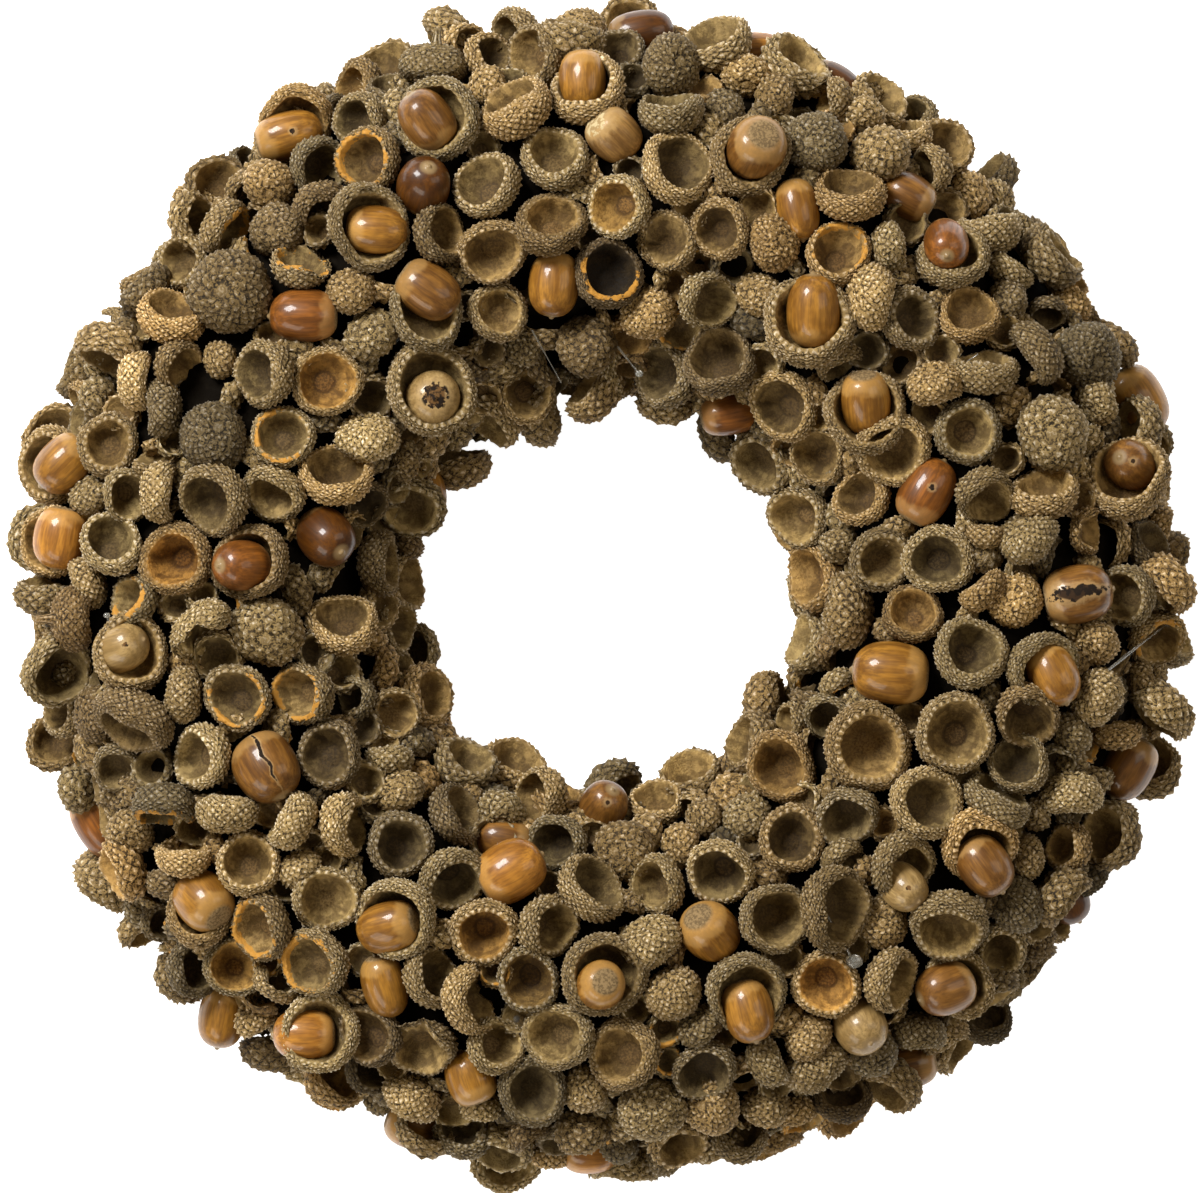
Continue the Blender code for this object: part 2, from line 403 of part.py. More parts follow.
def turned(profile, sides, matrix):
    """A closed shape turned about Z from a profile that runs from a flat foot up to the axis, or up to a lid."""
    bm = bmesh.new()
    verts = [bm.verts.new((wide, 0, high)) for wide, high in profile]
    edges = [bm.edges.new(pair) for pair in zip(verts, verts[1:])]
    bmesh.ops.spin(bm, geom=verts + edges, axis=(0, 0, 1), angle=2 * math.pi, steps=sides)
    bmesh.ops.remove_doubles(bm, verts=bm.verts, dist=1e-6)
    bmesh.ops.holes_fill(bm, edges=bm.edges, sides=sides)
    bmesh.ops.recalc_face_normals(bm, faces=bm.faces)
    bmesh.ops.transform(bm, matrix=matrix, verts=bm.verts)
    return bm


def cup_shape(cup, grow=0.0):
    """A cup about the middle of its rim. A grown one is a plain cutter, with no hollow, and so is a capsized one."""
    profile = [(wide * cup.radius + grow, high * cup.height + math.copysign(grow, high + 0.5)) for wide, high in BOWL]
    if not grow and cup.axis.dot(cup.normal) > 0:
        if cup.radius > THICK_RIM_FROM:
            profile.append((cup.radius * (1 - 2 * CUP_WALL), 0.0))
        profile.append((0.0, WELL_HEIGHT * cup.height))
    return turned(profile, CUP_SIDES, placed(cup))


def nut_shape(nut, grow=0.0):
    """An acorn about its own middle, with its scar downwards and its tip towards +Z."""
    profile = [(wide and wide * nut.radius + grow, high * nut.height + math.copysign(grow, high))
               for wide, high in NUT_PROFILE]
    return turned(profile, NUT_SIDES, placed(nut))


def sector_of(bearing):
    return int(math.floor(bearing / (2 * math.pi / SECTORS))) % SECTORS


def near(things, index):
    """Those of the things that can reach a sector."""
    middle, half = (index + 0.5) * 2 * math.pi / SECTORS, math.pi / SECTORS
    return [thing for thing in things if abs(math.remainder(thing.bearing - middle, 2 * math.pi)) < half + NEAR]


def bed_sector(index, material, collection):
    """The sheet of glue that one sector's cups are bedded in: an open section, turned, with a thickness."""
    bm = bmesh.new()
    radii, heights, _, _ = section(np.linspace(-BED_REACH, BED_REACH, BED_FACETS + 1))
    verts = [bm.verts.new((float(radius), 0, float(height))) for radius, height in zip(radii, heights)]
    for pair in zip(verts, verts[1:]):
        bm.edges.new(pair)
    obj = new_object(f"cups_{index + 1}", bm, collection, material)
    turn, margin = 2 * math.pi / SECTORS, SEAT_GAP / (RING_RADIUS - BAND_HALF_WIDTH)
    screw = obj.modifiers.new("turn", "SCREW")
    screw.angle = turn - 2 * margin
    screw.steps = screw.render_steps = BED_STEPS
    screw.use_merge_vertices = False
    solidify = obj.modifiers.new("thickness", "SOLIDIFY")
    solidify.thickness = BED_THICKNESS
    solidify.offset = -1
    obj.rotation_euler.z = index * turn + margin
    return obj


def applied(obj):
    """The object with its modifiers and its place worked into its mesh."""
    bpy.context.view_layer.update()
    evaluated = obj.evaluated_get(bpy.context.evaluated_depsgraph_get())
    mesh = bpy.data.meshes.new_from_object(evaluated)
    mesh.transform(obj.matrix_world)
    obj.modifiers.clear()
    obj.matrix_world = Matrix.Identity(4)
    obj.data = mesh
    return obj


def boolean(obj, operation, bodies):
    """Joins or cuts an object with a list of meshes, and removes them."""
    tools = bpy.data.collections.new("tools")
    bpy.context.scene.collection.children.link(tools)
    for number, bm in enumerate(bodies):
        new_object(f"tool_{number}", bm, tools)
    modifier = obj.modifiers.new("boolean", "BOOLEAN")
    modifier.operation = operation
    modifier.operand_type = "COLLECTION"
    modifier.collection = tools
    modifier.solver = "MANIFOLD"
    applied(obj)
    for tool in list(tools.objects):
        bpy.data.objects.remove(tool)
    bpy.data.collections.remove(tools)


def keep_main_body(obj):
    """Drops loose scraps, and the walls of any hollow that fusing has sealed."""
    bm = bmesh.new()
    bm.from_mesh(obj.data)
    seen, bodies = set(), []
    for start in bm.verts:
        if start in seen:
            continue
        body, waiting = [], [start]
        seen.add(start)
        while waiting:
            vert = waiting.pop()
            body.append(vert)
            for edge in vert.link_edges:
                other = edge.other_vert(vert)
                if other not in seen:
                    seen.add(other)
                    waiting.append(other)
        bodies.append(body)
    bodies.sort(key=len)
    for body in bodies[:-1]:
        bmesh.ops.delete(bm, geom=body, context="VERTS")
    bm.to_mesh(obj.data)
    bm.free()


def inset_profile(points, depth):
    """An open profile moved inwards square to its facets, as Solidify moves the bed's."""
    along = np.diff(points, axis=0)
    facets = np.stack([-along[:, 1], along[:, 0]], axis=1) / np.linalg.norm(along, axis=1)[:, None]
    corners = np.concatenate([facets[:1], facets[:-1] + facets[1:], facets[-1:]])
    return points - depth * corners / np.linalg.norm(corners, axis=1)[:, None]


def build_former(collection, wrap):
    """The ring under it all: a closed section with a flat back, turned full circle. Its facets match the bed's."""
    bm = bmesh.new()
    radii, heights, _, _ = section(np.linspace(-BED_REACH, BED_REACH, BED_FACETS + 1))
    crown = inset_profile(np.stack([radii, heights], axis=1), BED_THICKNESS + SEAT_GAP)
    points = [(crown[0][0] + BACK_INSET, 0.0), *crown, (crown[-1][0] - BACK_INSET, 0.0)]
    verts = [bm.verts.new((float(radius), 0, float(height))) for radius, height in points]
    for pair in zip(verts, verts[1:] + verts[:1]):
        bm.edges.new(pair)
    former = new_object("former", bm, collection, wrap)
    screw = former.modifiers.new("turn", "SCREW")
    screw.steps = screw.render_steps = SECTORS * BED_STEPS
    screw.use_merge_vertices = True
    screw.merge_threshold = 0.00005
    return former


def material(name, colour, roughness):
    made = bpy.data.materials.new(name)
    made.use_nodes = True
    shader = made.node_tree.nodes["Principled BSDF"]
    shader.inputs["Base Color"].default_value = (*colour, 1)
    shader.inputs["Roughness"].default_value = roughness
    shader.inputs["Metallic"].default_value = 0
    return made


def build():
    for obj in list(bpy.data.objects):
        bpy.data.objects.remove(obj)
    wreath = bpy.data.collections.new("acorn_wreath")
    bpy.context.scene.collection.children.link(wreath)
    wrap = material("wrap", (0.012, 0.011, 0.010), 0.45)
    scales = material("cup", (0.21, 0.145, 0.075), 0.85)
    shell = material("nut", (0.33, 0.13, 0.03), 0.3)

    nuts, cups = lay_out()
    cups = [cup for cup in cups if cup.radius > SMALLEST_CUP]
    build_former(wreath, wrap)
    sectors = [[cup for cup in cups if sector_of(cup.bearing) == index] for index in range(SECTORS)]
    for index, own in enumerate(sectors):
        before, after = sectors[index - 1], sectors[(index + 1) % SECTORS]
        obj = applied(bed_sector(index, scales, wreath))
        boolean(obj, "DIFFERENCE", [cup_shape(cup, CUTTER_GROWTH) for cup in near(before + after, index)])
        boolean(obj, "UNION", [cup_shape(cup) for cup in own])
        cutters = [cup_shape(cup, CUTTER_GROWTH) for cup in near(after, index)]
        cutters += [nut_shape(nut, CUTTER_GROWTH) for nut in near(nuts, index)]
        boolean(obj, "DIFFERENCE", cutters)
        keep_main_body(obj)
    for number, nut in enumerate(nuts):
        new_object(f"nut_{number + 1:02d}", nut_shape(nut), wreath, shell)


build()
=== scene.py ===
"""An acorn wreath, dressed: scaly cups, lacquered acorns, and the black film and glue that show between them.

Metres, +Z up. The wreath lies on its flat back and is looked at from straight above. Every cup and acorn lies
where the solids have it: the same tables and the same seeded rule place them, with finer shapes.
"""

import logging
import math
from dataclasses import dataclass, field
from enum import Enum
from typing import Any, NamedTuple

import bmesh
import bpy
import numpy as np
from mathutils import Matrix, Vector


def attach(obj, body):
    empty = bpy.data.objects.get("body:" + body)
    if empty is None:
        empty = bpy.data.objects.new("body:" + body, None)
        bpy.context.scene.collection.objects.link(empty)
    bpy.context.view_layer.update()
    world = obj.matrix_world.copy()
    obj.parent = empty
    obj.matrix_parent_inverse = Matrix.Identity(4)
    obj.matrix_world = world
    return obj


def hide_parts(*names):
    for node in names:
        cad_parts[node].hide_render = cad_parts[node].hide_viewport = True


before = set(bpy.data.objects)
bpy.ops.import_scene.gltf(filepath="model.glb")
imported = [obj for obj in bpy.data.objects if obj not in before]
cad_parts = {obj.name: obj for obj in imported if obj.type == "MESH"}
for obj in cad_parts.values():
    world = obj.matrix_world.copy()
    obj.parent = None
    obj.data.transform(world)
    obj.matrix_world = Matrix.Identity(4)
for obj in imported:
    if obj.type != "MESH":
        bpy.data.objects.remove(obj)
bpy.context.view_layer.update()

LOG = logging.getLogger("acorn_wreath")


class Trait(Enum):
    """What sets one cup apart from a plain brown one."""

    STEM = "t"
    OCHRE = "o"
    CHARRED = "k"
    BROKEN = "b"
    GREY = "g"
    SHAGGY = "s"
    COARSE = "c"
    LIGHT = "l"
    BUTTON = "r"
    AMBER = "a"


class Tone(Enum):
    """The colours that the acorns come in."""

    GOLDEN = "golden"
    BROWN = "brown"
    DARK = "dark"
    RED = "red"
    TAN = "tan"
    PALE = "pale"
    ORANGE = "orange"
    CRUSTED = "crusted"


class Mark(Enum):
    """What an acorn may carry on its shell."""

    HOLE = "h"
    CRACK = "x"
    GALL = "q"
    WIDE = "w"


class Nut(NamedTuple):
    """One acorn: its middle (mm), where its tip points and lifts to (degrees), its size and looks."""

    right: float
    up: float
    heading: float
    lift: float
    length: float
    width: float
    rise: float
    tone: Tone
    marks: str = ""


class Cup(NamedTuple):
    """One cup: its middle and width (mm), its mouth's bearing and lean (degrees), and its looks."""

    right: float
    up: float
    width: float
    heading: float
    lean: float
    traits: str = ""


NUTS = (
    Nut(-6, 146, -90, 10, 18, 13.5, 3, Tone.GOLDEN),
    Nut(11, 162, 10, 0, 19, 13.5, 2, Tone.DARK),
    Nut(3, 130, -45, -20, 16, 14.5, 0, Tone.CRUSTED, "q"),
    Nut(45, 157, 0, 0, 18, 14, 0, Tone.ORANGE),
    Nut(67, 148, -30, 0, 17, 13.5, 0, Tone.DARK),
    Nut(43, 126, -120, -60, 18, 17, 3, Tone.BROWN),
    Nut(55, 109, -80, 10, 18, 12.5, 0, Tone.GOLDEN),
    Nut(87, 114, 150, 0, 16, 13, 0, Tone.BROWN),
    Nut(97, 99, -90, 65, 17, 13, 3, Tone.RED),
    Nut(59, 80, 90, 10, 21, 15.5, 3, Tone.GOLDEN),
    Nut(74, 54, -85, -25, 18.5, 14, 3, Tone.GOLDEN),
    Nut(155, 56, -60, 0, 21, 17, 0, Tone.TAN),
    Nut(150, 37, 150, 60, 16, 14, 3, Tone.BROWN, "h"),
    Nut(91, 29, 60, 0, 20, 15, 0, Tone.RED, "h"),
    Nut(36, 51, 10, 0, 18, 12, 0, Tone.RED),
    Nut(134, 0, 10, 0, 20, 17, 0, Tone.BROWN, "xw"),
    Nut(81, -22, 175, 0, 22, 18, 0, Tone.GOLDEN),
    Nut(127, -23, -65, 15, 18, 14, 3, Tone.GOLDEN),
    Nut(151, -50, -120, 0, 19, 15, 0, Tone.BROWN),
    Nut(108, -77, -55, 10, 18, 15, 3, Tone.BROWN),
    Nut(85, -83, -45, 40, 15, 12.5, 2, Tone.PALE, "h"),
    Nut(97, -112, -160, 20, 17, 15, 3, Tone.BROWN),
    Nut(73, -123, -60, 50, 17, 15, 0, Tone.PALE),
    Nut(88, -137, -170, 0, 18, 14, 0, Tone.BROWN),
    Nut(30, -95, -50, -45, 18, 16, 0, Tone.GOLDEN),
    Nut(41, -118, -75, 10, 18, 14.5, 3, Tone.GOLDEN),
    Nut(-1, -110, -135, -75, 17, 14, 3, Tone.GOLDEN),
    Nut(0, -59, 60, 45, 16, 13.5, 0, Tone.BROWN, "h"),
    Nut(-26, -78, 30, 0, 20, 17, 0, Tone.ORANGE),
    Nut(-38, -138, 110, 0, 16, 14, 0, Tone.TAN),
    Nut(-56, -157, -20, 0, 17, 15, 0, Tone.TAN),
    Nut(-61, -94, -165, -20, 18, 14.5, 3, Tone.GOLDEN),
    Nut(-62, -111, -75, -10, 18.5, 13, 0, Tone.TAN),
    Nut(-85, -125, 180, 0, 18, 14.5, 3, Tone.ORANGE),
    Nut(-110, -122, -100, 0, 18, 14, 0, Tone.TAN),
    Nut(-114, -87, 135, -35, 18, 16, 2, Tone.TAN),
    Nut(-95, -49, -60, 20, 20, 18, 0, Tone.BROWN, "x"),
    Nut(-136, -15, 20, 30, 16, 14, 3, Tone.PALE, "h"),
    Nut(-102, 8, 180, 45, 17, 14.5, 3, Tone.RED),
    Nut(-78, 16, -45, 45, 18, 15.5, 0, Tone.DARK),
    Nut(-155, 16, -100, 0, 18, 15, 2, Tone.ORANGE),
    Nut(-154, 37, -135, 0, 18, 15, 2, Tone.GOLDEN),
    Nut(-46, 26, 100, 0, 15, 13, 0, Tone.TAN, "h"),
    Nut(-48, 55, 0, 85, 17, 16, 3, Tone.PALE, "x"),
    Nut(-85, 79, 180, 0, 19.5, 15, 0, Tone.RED),
    Nut(-49, 85, -35, 0, 19, 15, 3, Tone.BROWN),
    Nut(-64, 103, -5, 0, 18, 14, 3, Tone.GOLDEN),
    Nut(-51, 116, 75, 55, 18, 15, 0, Tone.DARK),
    Nut(-50, 134, 125, 15, 18, 15, 3, Tone.BROWN),
    Nut(-89, 130, 15, 0, 20, 14, 2, Tone.GOLDEN, "h"),
    Nut(-14, 87, -95, 5, 18.5, 14.5, 0, Tone.GOLDEN),
    Nut(-147, -67, -60, 0, 20, 13, 0, Tone.RED),
    Nut(-4, -162, 0, 0, 16, 13, 0, Tone.ORANGE),
)

CUPS = (
    Cup(-4, 143, 22, 120, 40), Cup(-46, 134, 24, 180, 15), Cup(41, 124, 23, 30, 12), Cup(99, 95, 20, 100, 30),
    Cup(58, 76, 26, 100, 20), Cup(74, 51, 23.5, 90, 10), Cup(150, 32, 25, 100, 40),
    Cup(123, -20.5, 21, -30, 30), Cup(106, -70, 22, -60, 35), Cup(84, -76, 20, -45, 45),
    Cup(101, -111, 20, 0, 15), Cup(40, -112, 23, -60, 20), Cup(0, -107, 24, 0, 5),
    Cup(-58, -91, 23, -150, 20), Cup(-80, -124, 23, 180, 10), Cup(-115, -91, 20, 90, 20),
    Cup(-134, -17, 22, 60, 15), Cup(-99, 9, 22, 180, 20), Cup(-157, 15, 20, 180, 30),
    Cup(-157, 37, 22, 180, 30), Cup(-49, 58, 26, 0, 10), Cup(-50, 79, 22, 60, 20), Cup(-67, 104, 24, 0, 20),
    Cup(-87, 135, 21, -90, 25), Cup(-49, 152, 19, -95, 100, "t"), Cup(-25, 161, 17, 200, 55),
    Cup(-33, 154, 15, 20, 40), Cup(-18, 154, 18, 170, 45), Cup(-8, 162, 17, -60, 120),
    Cup(4, 154, 15, 90, 30, "g"), Cup(18, 165, 13, -70, 120), Cup(32, 160, 16, 150, 60, "o"),
    Cup(21, 151, 18, 200, 150), Cup(19, 137, 19, 90, 78), Cup(-33, 145, 12, 0, 130),
    Cup(-25, 138, 22, 125, 65), Cup(-14, 123, 19.5, 90, 30), Cup(-33, 116, 19.5, 135, 35),
    Cup(-15, 104, 20, 80, 35), Cup(5, 109, 18.5, 190, 30, "a"), Cup(20, 120, 21, 40, 35),
    Cup(33, 103, 17.5, 190, 15), Cup(49, 100, 16, 200, 150), Cup(18, 99, 17, 100, 25, "b"),
    Cup(1, 90, 20, 45, 20, "k"), Cup(-46, 101, 17.5, 20, 50), Cup(-32, 97, 19, -90, 20),
    Cup(-30, 80, 17, 30, 12), Cup(-5, 70, 18, -60, 150, "cr"), Cup(12, 79, 16, -45, 140),
    Cup(29, 82, 17.5, -20, 45), Cup(44, 84, 13.5, 0, 150), Cup(33, 66, 21, 120, 30, "g"),
    Cup(18, 62, 20, 180, 40, "g"), Cup(-23, 69, 11, 0, 150), Cup(-22, 56, 17, 0, 15, "r"),
    Cup(3, 62, 14, 0, 60), Cup(-38, 62, 12, 90, 100, "ob"), Cup(51, 53, 20, 200, 25),
    Cup(49, 143, 13.5, 0, 130), Cup(39, 148, 14, 90, 140), Cup(34, 139, 12, 0, 150, "g"),
    Cup(54, 155, 14, 180, 110, "o"), Cup(65, 142, 14, 180, 75), Cup(76, 147, 13.5, 90, 120),
    Cup(91, 141, 17, 130, 45), Cup(60, 129, 18, 0, 160, "g"), Cup(75, 136, 14, 90, 130),
    Cup(79, 125, 18, -45, 130, "c"), Cup(87, 132, 15, 110, 75), Cup(70, 112, 20, 90, 65),
    Cup(94, 121, 15, 180, 60), Cup(104, 127, 13, 0, 90), Cup(106, 115, 14, 200, 130),
    Cup(115, 116, 13, 180, 130), Cup(110, 103, 19, 90, 95), Cup(125, 108, 12, 60, 120),
    Cup(137, 93, 14, 30, 60), Cup(80, 98, 15, 0, 110), Cup(66, 95, 19, 80, 25, "o"),
    Cup(76, 83, 18.5, 0, 112, "l"), Cup(85, 79, 18, 10, 30, "g"), Cup(103, 78, 17.5, 80, 35),
    Cup(115, 84, 12.5, 0, 140, "g"), Cup(117, 92, 14, 60, 100), Cup(134, 85, 14, 45, 110, "o"),
    Cup(127, 81, 12, -90, 50, "g"), Cup(146, 82, 11, 30, 130), Cup(122, 69, 18, 215, 100),
    Cup(139, 67, 20, 150, 150, "g"), Cup(93, 60, 16, -75, 118, "l"), Cup(109, 63, 18.5, 90, 70),
    Cup(66, 66, 14, -60, 80), Cup(140, 54, 14, 45, 130), Cup(81, 43, 21, -90, 15),
    Cup(103, 46, 19, 0, 5, "r"), Cup(126, 44, 21, 0, 175, "s"), Cup(61, 39, 17, 190, 25),
    Cup(56, 22, 19, 200, 35), Cup(73, 27, 17, 150, 35), Cup(107, 27, 18, -60, 55), Cup(125, 29, 19, 90, 55),
    Cup(108, 18, 12, 90, 90), Cup(120, 17, 18, -60, 120, "b"), Cup(137, 18, 14, 0, 80, "b"),
    Cup(80, 10, 18.5, -30, 10), Cup(93, 10, 20, 200, 12), Cup(66, 13, 12, 90, 130),
    Cup(155, 13, 15, 30, 60, "g"), Cup(164, 19, 14, -20, 110), Cup(163, 3, 14, 0, 70),
    Cup(148, 0, 18, 190, 35), Cup(117, -1, 16, -45, 160), Cup(107, 1, 15, 135, 92, "b"),
    Cup(69, -4, 21, 180, 110, "c"), Cup(87, -6, 17, 90, 20), Cup(103, -17, 21, 60, 25, "r"),
    Cup(120, -34, 19, -80, 40), Cup(140, -14, 15, 45, 120), Cup(158, -12, 17, -60, 40, "o"),
    Cup(139, -30, 18, -20, 120), Cup(153, -25, 12, 0, 120), Cup(161, -23, 14, 180, 80),
    Cup(158, -35, 14, 170, 60), Cup(148, -40, 14, 90, 85), Cup(74, -43, 25, 0, 10),
    Cup(99, -39, 22.5, 0, 5, "r"), Cup(118, -48, 17.5, 120, 30), Cup(133, -40, 13, 45, 130),
    Cup(132, -57, 18, -90, 110, "l"), Cup(50, -48, 20, 180, 15), Cup(65, -25, 12, -60, 80, "ob"),
    Cup(63, -33, 14, -90, 30, "g"), Cup(54, -36, 12, 180, 60), Cup(55, 8, 12, 180, 70),
    Cup(53, -69, 19, 90, 10), Cup(69, -63, 18, -110, 30, "g"), Cup(91, -59, 21, 10, 20),
    Cup(112, -57, 19, 60, 75, "l"), Cup(124, -62, 10, 0, 130, "o"), Cup(122, -75, 14, 0, 100, "l"),
    Cup(132, -73, 15, 170, 45), Cup(149, -67, 16, -30, 60), Cup(67, -73, 13, -60, 70),
    Cup(66, -89, 23, -10, 40), Cup(77, -92, 15, 0, 175), Cup(96, -92, 22, -90, 40),
    Cup(118, -88, 17, 0, 130, "g"), Cup(131, -86, 12, -30, 130, "o"), Cup(142, -82, 15, -30, 110, "g"),
    Cup(113, -101, 16, -90, 35), Cup(132, -96, 13, 0, 60), Cup(125, -101, 13, -45, 120, "g"),
    Cup(63, -110, 19.5, -90, 5, "a"), Cup(82, -109, 19, -20, 60, "l"), Cup(89, -124, 16, -100, 100),
    Cup(58, -126, 15, -60, 120), Cup(110, -122, 17, 80, 45, "g"), Cup(117, -114, 14, -30, 130),
    Cup(99, -129, 15, -60, 100), Cup(76, -130, 15, 0, 150, "g"), Cup(60, -133, 19, -60, 110),
    Cup(70, -144, 17, 90, 40, "g"), Cup(54, -147, 14, -90, 110), Cup(57, -155, 14, -60, 60, "o"),
    Cup(-70, 148, 17, 190, 50), Cup(-61, 145, 13, 90, 60, "g"), Cup(-78, 139, 12, 0, 60, "g"),
    Cup(-69, 135, 16.5, 180, 35), Cup(-81, 123, 17.5, -30, 35, "g"), Cup(-67, 123, 19, 180, 30, "o"),
    Cup(-95, 116, 15.5, 90, 150), Cup(-93, 103, 16, 0, 160, "g"), Cup(-105, 124, 12.5, 45, 60, "g"),
    Cup(-80, 111, 16, -60, 60, "g"), Cup(-119, 112, 17, 200, 40, "b"), Cup(-109, 105, 17, -30, 70, "o"),
    Cup(-120, 94, 16, 170, 30), Cup(-107, 85, 24, 0, 165, "s"), Cup(-133, 90, 14, 120, 100),
    Cup(-144, 79, 13, 200, 60, "b"), Cup(-136, 81, 10, 0, 80, "b"), Cup(-122, 80, 20, 80, 60),
    Cup(-136, 73, 12, 180, 130, "g"), Cup(-144, 66, 13, 150, 130), Cup(-121, 65, 16, -30, 50, "b"),
    Cup(-109, 66, 11, 0, 130), Cup(-96, 63, 19, 185, 45), Cup(-78, 60, 20, 0, 5, "a"),
    Cup(-71, 86, 14.5, -90, 140), Cup(-86, 93, 17, 90, 60, "ob"), Cup(-65, 73, 16, -60, 140, "c"),
    Cup(-133, 58, 17, 0, 95, "l"), Cup(-125, 56, 16, 180, 100, "g"), Cup(-143, 56, 13.5, 180, 130, "c"),
    Cup(-152, 58, 12, 200, 80), Cup(-140, 42, 18, 90, 10), Cup(-128, 38, 14, 120, 90, "b"),
    Cup(-110, 45, 20, -120, 150, "g"), Cup(-90, 44, 18, 100, 10, "o"), Cup(-68, 44, 18, -90, 120, "l"),
    Cup(-74, 34, 20, 90, 45), Cup(-57, 38, 12, 0, 120, "o"), Cup(-67, 26, 14, -45, 40, "g"),
    Cup(-93, 29, 17.5, -120, 35), Cup(-111, 28, 21, -150, 40), Cup(-125, 28, 17, 0, 92, "l"),
    Cup(-135, 27, 15, -30, 20), Cup(-147, 29, 13.5, -60, 120), Cup(-161, 27, 10, 180, 120),
    Cup(-139, 15, 18.5, 90, 35), Cup(-121, 10, 21, 190, 12, "a"), Cup(-64, 9, 18, 0, 70),
    Cup(-56, 16, 14, 30, 110, "g"), Cup(-159, 3, 11, 180, 130, "g"), Cup(-147, 1, 15, 200, 100, "l"),
    Cup(-152, -5, 19, 0, 104, "tg"), Cup(-132, -3, 16, 160, 50, "o"), Cup(-114, -9, 20, -45, 92, "bl"),
    Cup(-95, -11, 20.5, 90, 160, "cr"), Cup(-73, -9, 20, 90, 40), Cup(-59, -9, 16, 0, 60),
    Cup(-157, -17, 13, 180, 60), Cup(-103, -29, 19, 180, 8, "o"), Cup(-84, -28, 18.5, 180, 35, "o"),
    Cup(-119, -29, 16, 180, 100, "l"), Cup(-154, -23, 11, 150, 120, "g"), Cup(-162, -29, 9, 180, 120),
    Cup(-155, -34, 15, 170, 50), Cup(-146, -34, 16, 0, 120, "g"), Cup(-133, -35, 23, -120, 70, "g"),
    Cup(-113, -46, 19, 180, 45), Cup(-77, -45, 19, 180, 15, "g"), Cup(-69, -29, 13, 180, 40, "g"),
    Cup(-59, -34, 15, 0, 15), Cup(-60, -46, 14, 90, 95), Cup(-58, -55, 14, -60, 130),
    Cup(-138, -49, 14, -100, 25, "g"), Cup(-149, -49, 9, 200, 60, "ob"), Cup(-149, -56, 14, 180, 130, "c"),
    Cup(-123, -61, 19, -90, 75, "og"), Cup(-136, -58, 13, 0, 140, "g"), Cup(-153, -65, 10, 180, 130),
    Cup(-135, -67, 14, 90, 140), Cup(-120, -73, 17, 90, 75, "l"), Cup(-106, -62, 18, 90, 98, "l"),
    Cup(-100, -76, 18.5, 100, 15, "l"), Cup(-88, -64, 18, 150, 95, "l"), Cup(-73, -65, 19, 0, 70, "l"),
    Cup(-85, -78, 13, -60, 110, "l"), Cup(-80, -85, 19, 0, 10, "b"), Cup(-58, -70, 19, 0, 8, "g"),
    Cup(-135, -85, 11, 0, 140), Cup(-126, -83, 12, 90, 110, "g"), Cup(-144, -83, 11, 200, 120),
    Cup(-137, -91, 12, 200, 130, "g"), Cup(-128, -94, 12.5, -30, 30, "g"), Cup(-127, -104, 11, 200, 100, "o"),
    Cup(-118, -107, 17, 0, 35, "g"), Cup(-105, -106, 17.5, 0, 5, "a"), Cup(-97, -94, 19, 200, 40, "o"),
    Cup(-93, -111, 14, 60, 92, "b"), Cup(-82, -105, 20, 200, 30, "o"), Cup(-100, -121, 13, -60, 120, "l"),
    Cup(-68, -124, 18, 180, 30, "g"), Cup(-90, -139, 11, 200, 130), Cup(-78, -142, 16, -60, 40, "o"),
    Cup(-67, -136, 15, 0, 30, "g"), Cup(-66, -147, 10, 0, 130), Cup(-42, -62, 18, 30, 65, "g"),
    Cup(-29, -62, 14, 90, 140), Cup(-17, -57, 18, 180, 50), Cup(-14, -70, 17, 200, 20, "g"),
    Cup(-42, -80, 19, -60, 35, "r"), Cup(-34, -94, 19.5, -90, 12, "a"), Cup(-16, -93, 19, -10, 45),
    Cup(-3, -84, 20, 45, 50, "l"), Cup(15, -82, 17, 180, 35), Cup(33, -79, 19, -120, 20, "r"),
    Cup(5, -72, 18, 0, 150, "c"), Cup(21, -70, 13, 0, 130), Cup(15, -59, 16, 100, 50),
    Cup(28, -63, 12, 0, 130), Cup(40, -62, 15, -90, 140, "l"), Cup(49, -91, 20.5, 0, 20),
    Cup(12, -97, 18, -60, 115, "b"), Cup(-49, -109, 18, 20, 50), Cup(-38, -115, 20, 0, 60, "bl"),
    Cup(-22, -109, 18, -90, 8, "ga"), Cup(19, -112, 17, -45, 130), Cup(27, -123, 14, -60, 120, "l"),
    Cup(29, -133, 18, -100, 30, "g"), Cup(46, -133, 15, 30, 110, "bl"), Cup(-31, -127, 17, 30, 30),
    Cup(-51, -128, 19, -90, 50, "b"), Cup(-13, -126, 20, 180, 20), Cup(6, -130, 21, 185, 25),
    Cup(-36, -146, 13, -90, 110, "l"), Cup(-20, -140, 20, -45, 10, "g"), Cup(-53, -143, 17, -120, 120),
    Cup(-40, -155, 16, 90, 40, "g"), Cup(-23, -153, 14, -60, 100, "g"), Cup(-6, -141, 14, 0, 140),
    Cup(-6, -152, 16, -90, 130, "c"), Cup(14, -147, 19, -90, 160, "b"), Cup(30, -146, 17, 0, 150),
    Cup(46, -146, 13.5, -90, 140, "o"), Cup(39, -156, 17, 80, 50, "g"), Cup(19, -161, 16, -60, 100, "g"),
    Cup(5, -159, 12, 0, 140, "g"), Cup(11, -164, 14, -90, 60), Cup(-16, -160, 13, -90, 130),
    Cup(-20, -164, 9, -90, 100, "b"), Cup(-38, -163, 10, -90, 120),
)


